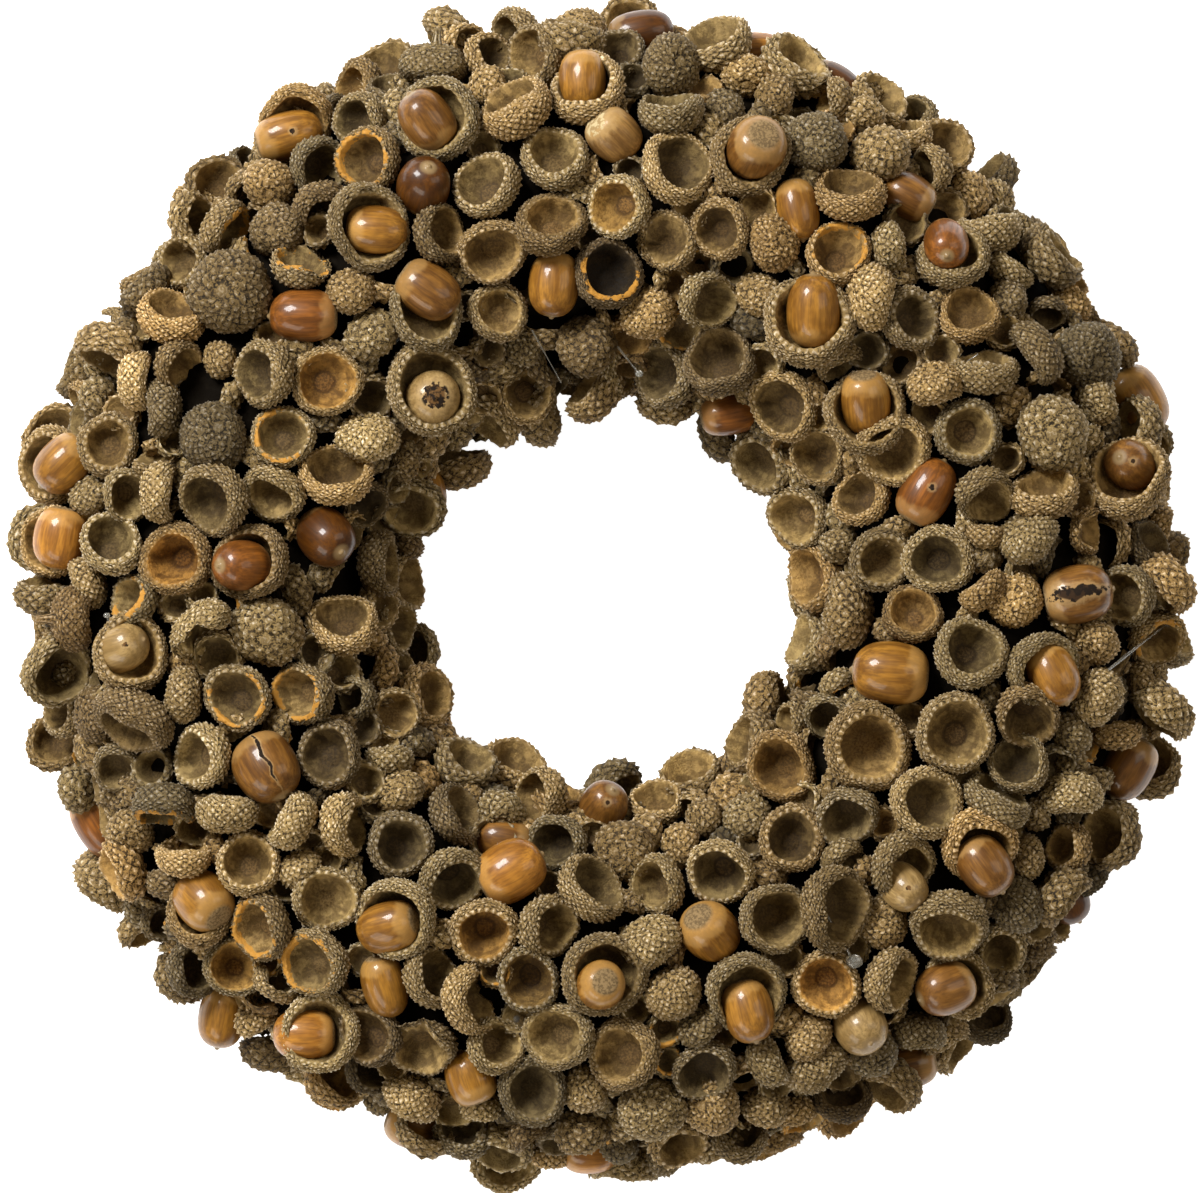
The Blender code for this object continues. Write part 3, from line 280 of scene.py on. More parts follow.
class Laid(NamedTuple):
    """One thing as it lies: its origin, the way its mouth or tip points, its turn about that, its looks."""

    origin: Vector
    axis: Vector
    normal: Vector
    turn: float
    radius: float
    height: float
    bearing: float
    looks: str
    tone: Tone | None
    listed: bool

    def has(self, look: Trait | Mark) -> bool:
        """Whether it has a trait or a mark."""
        return look.value in self.looks

    def stand(self) -> Matrix:
        """The matrix that stands a shape's own Z along the thing's axis, with its origin at the thing's."""
        upright = self.axis.to_track_quat("Z", "Y").to_matrix().to_4x4()
        return Matrix.Translation(self.origin) @ upright @ Matrix.Rotation(self.turn, 4, "Z")


@dataclass
class Band:
    """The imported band's section: three quarter-ellipses and a flat back, measured on the bed of glue."""

    ring_radius: float = 0.1095
    half_width: float = 0.048
    waist_height: float = 0.021
    crown_rise: float = 0.037
    keel_drop: float = 0.021
    sectors: int = 6
    bed_steps: int = 6
    bed_facets: int = 8
    bed_reach: float = math.radians(122)

    def section(self, lean: Any, lift: float = 0.0) -> tuple[Any, Any, Any, Any]:
        """The section at an angle from its crown, outwards positive.

        Args:
            lean: The angle or angles, in radians.
            lift: How far off the bed, in metres.

        Returns:
            The radius, the height, and the outward normal's two parts.
        """
        rise = np.where(np.cos(lean) > 0, self.crown_rise, self.keel_drop)
        out = np.sin(lean) / self.half_width
        up = np.cos(lean) / rise
        size = np.sqrt(out * out + up * up)
        radius = self.ring_radius + self.half_width * np.sin(lean) + lift * out / size
        height = self.waist_height + rise * np.cos(lean) + lift * up / size
        return radius, height, out / size, up / size

    def seat(self, bearing: float, lean: float) -> tuple[Vector, Vector, Vector]:
        """A seat on the faceted bed.

        Args:
            bearing: The angle round the ring, in radians.
            lean: The angle round the section, in radians.

        Returns:
            The point, the section's normal there, and the way outwards along the section.
        """
        stations = np.linspace(-self.bed_reach, self.bed_reach, self.bed_facets + 1)
        radii, heights, _, _ = self.section(stations)
        _, _, out, up = self.section(lean)
        facet = 2 * math.pi / (self.sectors * self.bed_steps)
        off = bearing / facet - math.floor(bearing / facet) - 0.5
        radius = np.interp(lean, stations, radii) * math.cos(facet / 2) / math.cos(off * facet)
        side, rise = Vector((math.cos(bearing), math.sin(bearing), 0.0)), Vector((0.0, 0.0, 1.0))
        foot = side * float(radius) + rise * float(np.interp(lean, stations, heights))
        return foot, side * float(out) + rise * float(up), side * float(up) - rise * float(out)

    def run(self, limit: float, steps: int = 401) -> tuple[np.ndarray, np.ndarray, np.ndarray]:
        """The section as a run of places.

        Args:
            limit: The angle from the crown at which it ends on both sides, in radians.
            steps: How many places it has.

        Returns:
            The places' angles, their radii, and their distances along the section.
        """
        angles = np.linspace(-limit, limit, steps)
        radii, heights, _, _ = self.section(angles)
        arcs = np.concatenate([[0], np.cumsum(np.hypot(np.diff(radii), np.diff(heights)))])
        return angles, radii, arcs

    def sector_of(self, bearing: float) -> int:
        """The number of the sector that a bearing falls in."""
        return int(math.floor(bearing / (2 * math.pi / self.sectors))) % self.sectors


def pointing(heading: float, lean: float) -> Vector:
    """The direction seen from the front at a heading and leaning away from the viewer, both in degrees."""
    turn, tip = math.radians(heading), math.radians(lean)
    return Vector((math.cos(turn) * math.sin(tip), math.sin(turn) * math.sin(tip), math.cos(tip)))


def wrapped(turn: Any) -> Any:
    """An angle or angles brought between minus and plus half a turn."""
    return turn - 2 * math.pi * np.round(turn / (2 * math.pi))


@dataclass
class Layout:
    """Lays out every acorn and cup by the solids' own rule, in the same order of random draws."""

    band: Band
    seed: int = 26
    cup_height: float = 0.52
    cup_middle: float = -0.45
    bowl: tuple = ((0.62, -1.0), (1.0, 0.0))
    nut_profile: tuple = ((0.62, -1.0), (1.0, -0.2), (0.74, 0.62), (0.0, 1.0))
    root: float = 0.0028
    table_clearance: float = 0.002
    least_rise: float = 0.3
    flanks: tuple = ((56, math.radians(64), math.radians(95)), (22, math.radians(-95), math.radians(-64)))
    flank_diameters: tuple = (0.0165, 0.0215)
    open_share: float = 0.5
    open_lean: float = math.radians(34)
    side_lean: float = math.radians(62)
    capsized_lean: float = math.radians(150)
    golden_angle: float = math.radians(137.508)
    relax_steps: int = 220
    relax_rate: float = 0.3
    listed_give: float = 0.4
    listed_hold: float = 0.2
    packing: float = 0.82
    nest_reach: float = 0.0075
    perch_share: float = 0.3
    most_perch: float = 0.0018
    grain: int = 7
    section_limit: float = math.radians(96)
    front_limit: float = math.radians(84)
    filler_seed: int = 31
    filler_looks: tuple = ("", "", "", "", "b", "b", "b", "g", "g", "o")
    filler_limit: float = math.radians(112)
    filler_step: float = 0.0022
    least_clearance: float = -0.0009
    filler_extra: float = 0.0044
    filler_range: tuple = (0.0040, 0.0076)
    filler_root: float = 0.0012
    filler_top: float = 0.0060
    most_fillers: int = 380

    def reach_down(self, profile: tuple, axis: Vector, normal: Vector, radius: float, height: float) -> float:
        """How far a turned shape reaches down along a normal from its own origin.

        Args:
            profile: The thing's half section, as shares of its radius and height.
            axis: Its axis.
            normal: The way up.
            radius: Its radius (m).
            height: Its height (m).

        Returns:
            The reach (m).
        """
        along = axis.dot(normal)
        across = math.sqrt(max(0.0, 1 - along * along))
        return max(wide * radius * across - high * height * along for wide, high in profile)

    def lean_under(self, right: float, up: float, axis: Vector, profile: tuple, radius: float, height: float,
                   rise: float) -> float:
        """The angle round the section at which a thing's origin shows at a place seen from the front.

        Args:
            right: How far right of the wreath's middle (m).
            up: How far up the photo (m).
            axis: The thing's axis.
            profile: Its half section.
            radius: Its radius (m).
            height: Its height (m).
            rise: Its lift off the band (m).

        Returns:
            The lean (radians).
        """
        angles = np.linspace(-self.front_limit, self.front_limit, 337)
        plan, bearing, lift = math.hypot(right, up), math.atan2(up, right), radius / 2
        for _ in range(5):
            lean = float(np.interp(plan, self.band.section(angles, lift)[0], angles))
            _, normal, _ = self.band.seat(bearing, lean)
            lift = self.reach_down(profile, axis, normal, radius, height) + rise - self.root
        return lean

    def crowding(self, arc: Any, bearing: Any, extents: Any, radius: Any) -> tuple:
        """How each pair of oval footprints lies on the band.

        Args:
            arc: Each footprint's place along the section.
            bearing: Its place round the ring.
            extents: Its half length, half width, and the way that its length lies.
            radius: The ring's radius there.

        Returns:
            How far each pair lies apart along the section, round the ring and in all, and its overlap.
        """
        along, across, way_out, way_round = extents
        out = arc[:, None] - arc[None, :]
        turn = wrapped(bearing[:, None] - bearing[None, :])
        round_ = turn * (radius[:, None] + radius[None, :]) / 2
        apart = np.sqrt(out * out + round_ * round_) + 1e-9
        facing = ((out * way_out[:, None] + round_ * way_round[:, None]) / apart) ** 2
        reach = np.sqrt(across[:, None] ** 2 * (1 - facing) + along[:, None] ** 2 * facing)
        overlap = np.clip(reach + reach.T - apart, 0, None)
        np.fill_diagonal(overlap, 0)
        return out, round_, apart, overlap

    def spread_out(self, arc: Any, bearing: Any, extents: Any, give: Any, hold: Any, nested: Any,
                   arc_end: float, radius_of: Any) -> tuple:
        """Pushes footprints apart over the band, but for those nested in one another.

        Args:
            arc: Each footprint's place along the section.
            bearing: Its place round the ring.
            extents: Its half length, half width, and the way that its length lies.
            give: How readily it moves.
            hold: How strongly it keeps to its place.
            nested: Which pairs lie in one another.
            arc_end: The section's whole length.
            radius_of: Gives the ring's radius at a place along the section.

        Returns:
            The new places along the section and round the ring.
        """
        first_arc, first_bearing = arc, bearing
        for _ in range(self.relax_steps):
            radius = radius_of(arc)
            out, round_, apart, overlap = self.crowding(arc, bearing, extents, radius)
            push = np.where(nested, 0, overlap) / apart
            arc = arc + give * self.relax_rate * (push * out).sum(axis=1) + hold * (first_arc - arc)
            bearing = (bearing + give * self.relax_rate * (push * round_).sum(axis=1) / radius
                       + hold * (first_bearing - bearing))
            arc = np.round(np.clip(arc, 0, arc_end), self.grain)
            bearing = np.round(bearing, self.grain)
        return arc, bearing

    def extent(self, axis: Vector, normal: Vector, outwards: Vector, radius: float,
               half_length: float) -> tuple:
        """A footprint on the band: half its length and half its width, and the way that its length lies.

        Args:
            axis: The acorn's axis.
            normal: The crest's way up there.
            outwards: The way away from the hole.
            radius: The acorn's radius (m).
            half_length: Half its length (m).

        Returns:
            Half its length, half its width, and the way's parts away from the hole and along the ring.
        """
        tip = axis.dot(normal)
        flat = math.sqrt(max(1e-9, 1 - tip * tip))
        along = radius * abs(tip) + half_length * flat
        around = axis.dot(normal.cross(outwards)) / flat
        return along, radius, axis.dot(outwards) / flat, around

    def leaning(self, normal: Vector, outwards: Vector, share: float, amount: float, way: float,
                mouth_up: bool) -> Vector:
        """Which way a cup of the rule faces.

        Args:
            normal: The section's normal at its foot.
            outwards: The way outwards along the section there.
            share: Whether it is open, as a share of such cups.
            amount: How far it leans within its kind.
            way: Which way it leans, as a share of a turn.
            mouth_up: Whether one on its side turns its mouth to the viewer.

        Returns:
            The way its mouth faces.
        """
        tip = self.open_lean * amount if share < self.open_share else (
            self.side_lean + (self.capsized_lean - self.side_lean) * amount)
        across = outwards.copy()
        across.rotate(Matrix.Rotation(2 * math.pi * way, 3, normal))
        if mouth_up and tip > self.open_lean and across.z < 0:
            across = -across
        return (normal * math.cos(tip) + across * math.sin(tip)).normalized()

    def above_table(self, lift: float, foot: Vector, profile: tuple, axis: Vector, normal: Vector,
                    radius: float, height: float) -> float:
        """A thing's lift off its foot, raised where it would otherwise reach below the table.

        Args:
            lift: The lift along the normal (m).
            foot: The foot on the band.
            profile: The thing's half section.
            axis: Its axis.
            normal: The way off the band.
            radius: Its radius (m).
            height: Its height (m).

        Returns:
            The lift (m).
        """
        if normal.z <= 0:
            return lift
        low = self.reach_down(profile, axis, Vector((0, 0, 1)), radius, height)
        return max(lift, (self.table_clearance + low - foot.z) / max(self.least_rise, normal.z))

    def flank_cups(self, draw: np.random.Generator) -> list[tuple]:
        """The cups of the flanks, where a golden-angle rule starts them.

        Args:
            draw: The layout's random numbers.

        Returns:
            Each cup's bearing, lean, axis, radius and turn.
        """
        made = []
        narrow, broad = self.flank_diameters
        for count, low, high in self.flanks:
            for index in range(count):
                share, amount, way, size, turn = draw.random(5)
                bearing = (index * self.golden_angle) % (2 * math.pi)
                lean = low + (high - low) * (index + 0.5) / count
                radius = (narrow + (broad - narrow) * size) / 2
                _, normal, outwards = self.band.seat(bearing, lean)
                axis = self.leaning(normal, outwards, share, amount, way, mouth_up=True)
                made.append((bearing, lean, axis, radius, 2 * math.pi * turn))
        return made

    def lay(self) -> tuple[list[Laid], list[Laid]]:
        """Every acorn and every cup as it lies on the band.

        Returns:
            The acorns, in the order of their table, and the cups, the listed ones first.
        """
        band, draw = self.band, np.random.default_rng(self.seed)
        angles, radii, arcs = band.run(self.section_limit)
        things, looks = [], []
        for nut in NUTS:
            radius, half = nut.width / 2000, nut.length / 2000
            axis = pointing(nut.heading, 90 - nut.lift)
            right, up, rise = nut.right / 1000, nut.up / 1000, nut.rise / 1000
            lean = self.lean_under(right, up, axis, self.nut_profile, radius, half, rise)
            things.append((math.atan2(up, right), lean, axis, radius, half, 0.0, half, rise, 0.0))
            looks.append((nut.marks, nut.tone, True))
        for cup in CUPS:
            radius = cup.width / 2000
            height, axis = 2 * radius * self.cup_height, pointing(cup.heading, cup.lean)
            right = cup.right / 1000 - self.cup_middle * height * axis.x
            up = cup.up / 1000 - self.cup_middle * height * axis.y
            lean = self.lean_under(right, up, axis, self.bowl, radius, height, 0.0)
            turn = 2 * math.pi * draw.random()
            things.append((math.atan2(up, right), lean, axis, radius, height, turn, height / 2, 0.0,
                           self.listed_give))
            looks.append((cup.traits, None, True))
        for bearing, lean, axis, radius, turn in self.flank_cups(draw):
            height = 2 * radius * self.cup_height
            things.append((bearing, lean, axis, radius, height, turn, height / 2, 0.0, 1.0))
            looks.append(("", None, False))
        extents = []
        for bearing, lean, axis, radius, _, _, half_length, _, _ in things:
            _, normal, outwards = band.seat(bearing, lean)
            packed = (radius * self.packing, half_length * self.packing)
            extents.append(self.extent(axis, normal, outwards, *packed))
        arc = np.interp([thing[1] for thing in things], angles, arcs)
        bearing = np.array([thing[0] for thing in things])
        extents, size = np.array(extents).T, np.array([thing[3] for thing in things])
        rises, give = np.array([thing[7] for thing in things]), np.array([thing[8] for thing in things])
        apart = self.crowding(arc, bearing, extents, np.interp(arc, arcs, radii))[2]
        nested = (apart < self.nest_reach) & (rises[:, None] > 0) & (give[None, :] > 0)
        holder = nested.any(axis=0)
        give = np.where(holder, 0, give)
        hold = np.where((give > 0) & (give < 1), self.listed_hold, 0)
        nested = nested | nested.T
        arc, bearing = self.spread_out(
            arc, bearing, extents, give, hold, nested, arcs[-1], lambda place: np.interp(place, arcs, radii)
        )
        overlap = self.crowding(arc, bearing, extents, np.interp(arc, arcs, radii))[3]
        over = np.where(nested | (size[:, None] <= size[None, :]), 0, overlap)
        perch = np.minimum(self.perch_share * over.sum(axis=1), self.most_perch)
        perch[:len(NUTS)] = (nested[:len(NUTS)] * perch).max(axis=1)
        laid = []
        leans = np.interp(arc, arcs, angles)
        for thing, lean, where, raised, look in zip(things, leans, bearing, perch, looks):
            _, _, axis, radius, height, turn, _, rise, _ = thing
            foot, normal, _ = band.seat(float(where), float(lean))
            profile = self.nut_profile if len(laid) < len(NUTS) else self.bowl
            lift = self.reach_down(profile, axis, normal, radius, height) + rise + float(raised) - self.root
            lift = self.above_table(lift, foot, profile, axis, normal, radius, height)
            laid.append(Laid(foot + normal * lift, axis, normal, turn, radius, height, float(where), *look))
        gaps = self.fillers(laid, leans, extents)
        return laid[:len(NUTS)], laid[len(NUTS):] + gaps

    def fillers(self, laid: list[Laid], leans: Any, extents: Any) -> list[Laid]:
        """Small cups, low in the gaps between the others, the widest gap first.

        Args:
            laid: The others.
            leans: Each one's angle round the section.
            extents: Its half length, half width, and the way that its length lies.

        Returns:
            The small cups as they lie.
        """
        draw = np.random.default_rng(self.filler_seed)
        angles, radii, arcs = self.band.run(self.filler_limit)
        steps = int(2 * math.pi * self.band.ring_radius / self.filler_step)
        stations = np.arange(0, arcs[-1], self.filler_step)
        spots, turns = np.meshgrid(stations, np.arange(steps) * 2 * math.pi / steps)
        spots, turns = spots.ravel(), turns.ravel()
        reach_round = np.interp(spots, arcs, radii)
        clear = np.full(len(spots), 1.0)
        long, wide, way_out, way_round = extents / np.array([[self.packing], [self.packing], [1], [1]])
        for number, thing in enumerate(laid):
            _, normal, outwards = self.band.seat(thing.bearing, float(leans[number]))
            shift = self.cup_middle * thing.height if number >= len(NUTS) else 0.0
            out = spots - np.interp(leans[number], angles, arcs) - shift * thing.axis.dot(outwards)
            round_ = wrapped(turns - thing.bearing) * reach_round
            round_ = round_ - shift * thing.axis.dot(normal.cross(outwards))
            apart = np.hypot(out, round_) + 1e-9
            facing = ((out * way_out[number] + round_ * way_round[number]) / apart) ** 2
            reach = np.sqrt(wide[number] ** 2 * (1 - facing) + long[number] ** 2 * facing)
            clear = np.minimum(clear, apart - reach)
        made = []
        for _ in range(self.most_fillers):
            best = int(np.argmax(clear))
            if clear[best] < self.least_clearance:
                break
            radius = float(np.clip(clear[best] + self.filler_extra, *self.filler_range))
            where, lean = float(turns[best]), float(np.interp(spots[best], arcs, angles))
            foot, normal, outwards = self.band.seat(where, lean)
            share, amount, way, turn = draw.random(4)
            axis = self.leaning(normal, outwards, share, amount, way, mouth_up=False)
            height = 2 * radius * self.cup_height
            lift = self.reach_down(self.bowl, axis, normal, radius, height) - self.filler_root
            lift = min(lift, self.filler_top - self.reach_down(self.bowl, axis, -normal, radius, height))
            lift = self.above_table(lift, foot, self.bowl, axis, normal, radius, height)
            looks = self.filler_looks[int(draw.integers(len(self.filler_looks)))]
            place = foot + normal * lift
            spun = 2 * math.pi * turn
            made.append(Laid(place, axis, normal, spun, radius, height, where, looks, None, False))
            round_ = wrapped(turns - where) * reach_round
            clear = np.minimum(clear, np.hypot(spots - spots[best], round_) - radius)
        return made


@dataclass
class Recipe:
    """Adds and links nodes in a tree, so that a finish reads from its first node to its last."""

    tree: bpy.types.NodeTree

    def node(self, kind: str, inputs: dict | None = None, **settings: Any) -> bpy.types.Node:
        """Adds a node.

        Args:
            kind: The node's type, without its ShaderNode prefix.
            inputs: Values or sockets for its inputs, by name or number.
            **settings: The node's own settings.

        Returns:
            The node.
        """
        made = self.tree.nodes.new(kind if kind.startswith("Node") else "ShaderNode" + kind)
        for name, value in settings.items():
            setattr(made, name, value)
        return self.plug(made, inputs or {})

    def plug(self, node: bpy.types.Node, inputs: dict) -> bpy.types.Node:
        """Sets or links a node's inputs.

        Args:
            node: The node.
            inputs: Values or sockets for its inputs, by name or number.

        Returns:
            The node.
        """
        for key, value in inputs.items():
            if isinstance(value, bpy.types.NodeSocket):
                self.tree.links.new(value, node.inputs[key])
            else:
                node.inputs[key].default_value = value
        return node

    def math(self, operation: str, first: Any, second: Any = 0.5,
             clamp: bool = False) -> bpy.types.NodeSocket:
        """A sum on one or two values or sockets."""
        return self.node("Math", {0: first, 1: second}, operation=operation, use_clamp=clamp).outputs[0]

    def times(self, first: Any, second: Any) -> bpy.types.NodeSocket:
        """One value or socket times another."""
        return self.math("MULTIPLY", first, second)

    def unsettled(self, value: Any, noise: bpy.types.NodeSocket, amount: float) -> bpy.types.NodeSocket:
        """A value pushed up and down by a mask's distance from its middle."""
        return self.math("ADD", value, self.times(self.math("SUBTRACT", noise), amount))

    def between(self, value: Any, low: float, high: float) -> bpy.types.NodeSocket:
        """A value's smooth rise from 0 at low to 1 at high."""
        made = self.node("MapRange", {0: value, 1: low, 2: high}, interpolation_type="SMOOTHSTEP")
        return made.outputs[0]

    def mix(self, share: Any, first: Any, second: Any, blend: str = "MIX") -> bpy.types.NodeSocket:
        """Two colours mixed by a share."""
        made = self.node("Mix", {0: share, 6: first, 7: second}, data_type="RGBA", blend_type=blend)
        return made.outputs[2]

    def group(self, tree: bpy.types.NodeTree, **inputs: Any) -> bpy.types.NodeSocket:
        """Places a node group and gives what it puts out.

        Args:
            tree: The group's tree.

        Returns:
            Its first output.
        """
        made = self.tree.nodes.new("ShaderNodeGroup")
        made.node_tree = tree
        return self.plug(made, inputs).outputs[0]

    def bump(self, height: bpy.types.NodeSocket, strength: float, distance: float) -> bpy.types.NodeSocket:
        """The normal that a height gives."""
        return self.node("Bump", {"Height": height, "Strength": strength, "Distance": distance}).outputs[0]

    def spread(self, value: bpy.types.NodeSocket, low: float, high: float) -> bpy.types.NodeSocket:
        """A mask stretched to run from one value to another."""
        return self.node("MapRange", {0: value, 3: low, 4: high}).outputs[0]


def colour(red: float, green: float, blue: float) -> tuple[float, float, float, float]:
    """An opaque linear colour."""
    return red, green, blue, 1.0


def new_group(name: str, inputs: dict[str, float | None], outputs: dict[str, str]) -> tuple:
    """Starts a node group.

    Args:
        name: The group's name.
        inputs: Its inputs' names, each with a default value, or None for a vector.
        outputs: Its outputs' names, each with its kind of socket.

    Returns:
        The group's tree, a recipe on it, its inputs' node and its outputs' node.
    """
    tree = bpy.data.node_groups.new(name, "ShaderNodeTree")
    for key, value in inputs.items():
        kind = "NodeSocketVector" if value is None else "NodeSocketFloat"
        socket = tree.interface.new_socket(name=key, in_out="INPUT", socket_type=kind)
        if value is not None:
            socket.default_value = value
    for key, kind in outputs.items():
        tree.interface.new_socket(name=key, in_out="OUTPUT", socket_type=kind)
    recipe = Recipe(tree)
    return tree, recipe, recipe.node("NodeGroupInput"), recipe.node("NodeGroupOutput")


def mottle_group() -> bpy.types.NodeTree:
    """Cloudy patches, as a mask from 0 to 1: the ageing of cups, shells and film alike.

    Returns:
        The group.
    """
    tree, recipe, given, made = new_group(
        "mottle", {"Vector": None, "Scale": 400.0, "Low": 0.4, "High": 0.6}, {"Mask": "NodeSocketFloat"}
    )
    noise = recipe.node("TexNoise", {"Vector": given.outputs["Vector"], "Scale": given.outputs["Scale"],
                                     "Detail": 2.0, "Roughness": 0.62})
    spread = recipe.node("MapRange", {0: noise.outputs[0], 1: given.outputs["Low"], 2: given.outputs["High"]},
                         interpolation_type="SMOOTHSTEP")
    tree.links.new(spread.outputs[0], made.inputs["Mask"])
    return tree


def grit_group() -> bpy.types.NodeTree:
    """Fine grit, as a height: coarse grains with finer ones on them.

    Returns:
        The group.
    """
    tree, recipe, given, made = new_group(
        "grit", {"Vector": None, "Scale": 1500.0, "Share": 0.7}, {"Height": "NodeSocketFloat"}
    )
    grains = recipe.node("TexNoise", {"Vector": given.outputs["Vector"], "Scale": given.outputs["Scale"],
                                      "Detail": 2.0, "Roughness": given.outputs["Share"]})
    tree.links.new(grains.outputs[0], made.inputs["Height"])
    return tree


def started(name: str) -> tuple[bpy.types.Material, Recipe, bpy.types.Node, bpy.types.NodeSocket]:
    """Starts a material.

    Args:
        name: The material's name.

    Returns:
        The material, a recipe on its tree, its shader, and each point's own place.
    """
    made = bpy.data.materials.new(name)
    made.use_nodes = True
    recipe = Recipe(made.node_tree)
    return made, recipe, made.node_tree.nodes["Principled BSDF"], recipe.node("TexCoord").outputs["Object"]


@dataclass(frozen=True)
class CupFinish:
    """Dry, scaly cups: pale scale tips lightened by a painted highlight over crevices dark with painted
    shade, and a smooth brown bowl with a scar in it, darkened towards its bottom by painted shade.
    """

    # Pale scale tips with a painted highlight: this colour goes on the raised peaks, lighter than the scales'
    # own tan.
    tip: tuple = colour(0.64, 0.535, 0.370)
    scale: tuple = colour(0.272, 0.183, 0.067)
    # Painted shade: near-black in the low crevices between the scales, where shade falls.
    crevice_shade: tuple = colour(0.016, 0.009, 0.002)
    aged: tuple = colour(0.105, 0.067, 0.026)
    bowl_rim: tuple = colour(0.34, 0.235, 0.085)
    # Painted shade: the bowl's colour towards its bottom, darker where shade falls in the hollow.
    bowl_bottom_shade: tuple = colour(0.075, 0.045, 0.011)
    bowl_aged: tuple = colour(0.070, 0.041, 0.014)
    bowl_fleck: tuple = colour(0.27, 0.18, 0.072)
    strand_shade: tuple = colour(0.50, 0.47, 0.40)
    scar: tuple = colour(0.058, 0.034, 0.012)
    scar_fleck: tuple = colour(0.135, 0.083, 0.032)
    scar_ring: tuple = colour(0.033, 0.018, 0.006)
    ochre: tuple = colour(0.52, 0.245, 0.035)
    roughness: float = 0.82

    def material(self, mottle: bpy.types.NodeTree, grit: bpy.types.NodeTree) -> bpy.types.Material:
        """Builds the cups' material.

        Args:
            mottle: The group that gives cloudy patches.
            grit: The group that gives fine grit.

        Returns:
            The material.
        """
        made, recipe, shader, where = started("cup_scales")
        zoned = recipe.node("Attribute", attribute_name="zones")
        inside, along, relief = recipe.node("SeparateColor", {0: zoned.outputs["Color"]}).outputs
        tint = recipe.node("Attribute", attribute_name="tint").outputs
        bowl = recipe.node("Attribute", attribute_name="bowl").outputs
        clouds = recipe.group(mottle, Vector=where, Scale=230.0, Low=0.42, High=0.59)
        patches = recipe.group(mottle, Vector=where, Scale=420.0, Low=0.36, High=0.64)
        specks = recipe.group(mottle, Vector=where, Scale=1500.0, Low=0.38, High=0.62)

        # Painted shade in the low crevices and painted highlight on the raised scale tips, both set by each
        # point's relief.
        shade_to_highlight = recipe.unsettled(relief, specks, 0.44)
        body = recipe.mix(recipe.between(shade_to_highlight, 0.03, 0.40), self.crevice_shade, self.scale)
        body = recipe.mix(recipe.between(shade_to_highlight, 0.50, 1.02), body, self.tip)
        body = recipe.mix(recipe.times(patches, 0.44), body, self.aged)
        outer = recipe.mix(1.0, body, tint["Color"], "MULTIPLY")

        # Painted shade: the bowl darkens from its rim towards its bottom.
        bottom_shade = recipe.between(recipe.unsettled(along, clouds, 0.30), 0.96, 0.34)
        hollow = recipe.mix(bottom_shade, self.bowl_rim, self.bowl_bottom_shade)
        hollow = recipe.mix(recipe.times(patches, 0.45), hollow, self.bowl_aged)
        hollow = recipe.mix(recipe.times(specks, 0.30), hollow, self.bowl_fleck)
        strands = recipe.between(recipe.unsettled(zoned.outputs["Alpha"], specks, 0.5), 0.45, 0.95)
        hollow = recipe.mix(recipe.times(strands, 0.75), hollow, self.strand_shade, "MULTIPLY")
        in_scar = recipe.times(recipe.between(along, 0.30, 0.22), bowl["Alpha"])
        hollow = recipe.mix(in_scar, hollow, recipe.mix(specks, self.scar, self.scar_fleck))
        past, within = recipe.between(along, 0.27, 0.20), recipe.between(along, 0.36, 0.29)
        ring = recipe.times(recipe.math("SUBTRACT", within, past, True), bowl["Alpha"])
        hollow = recipe.mix(recipe.times(ring, 0.7), hollow, self.scar_ring)
        inner = recipe.mix(1.0, hollow, bowl["Color"], "MULTIPLY")

        worn = recipe.mix(inside, outer, inner)
        edge = recipe.times(recipe.between(along, 0.62, 0.92), tint["Alpha"])
        amount = recipe.times(edge, recipe.math("MULTIPLY_ADD", clouds, 0.8))
        crumbs = recipe.between(recipe.math("ADD", amount, recipe.times(specks, 0.22)), 0.62, 0.86)
        recipe.plug(shader, {
            "Base Color": recipe.mix(recipe.times(crumbs, 0.85), worn, self.ochre),
            "Normal": recipe.bump(recipe.group(grit, Vector=where, Scale=1500.0, Share=0.75), 0.75, 0.0005),
            "Roughness": recipe.spread(specks, self.roughness - 0.1, self.roughness + 0.1),
            "Specular IOR Level": 0.25,
        })
        return made


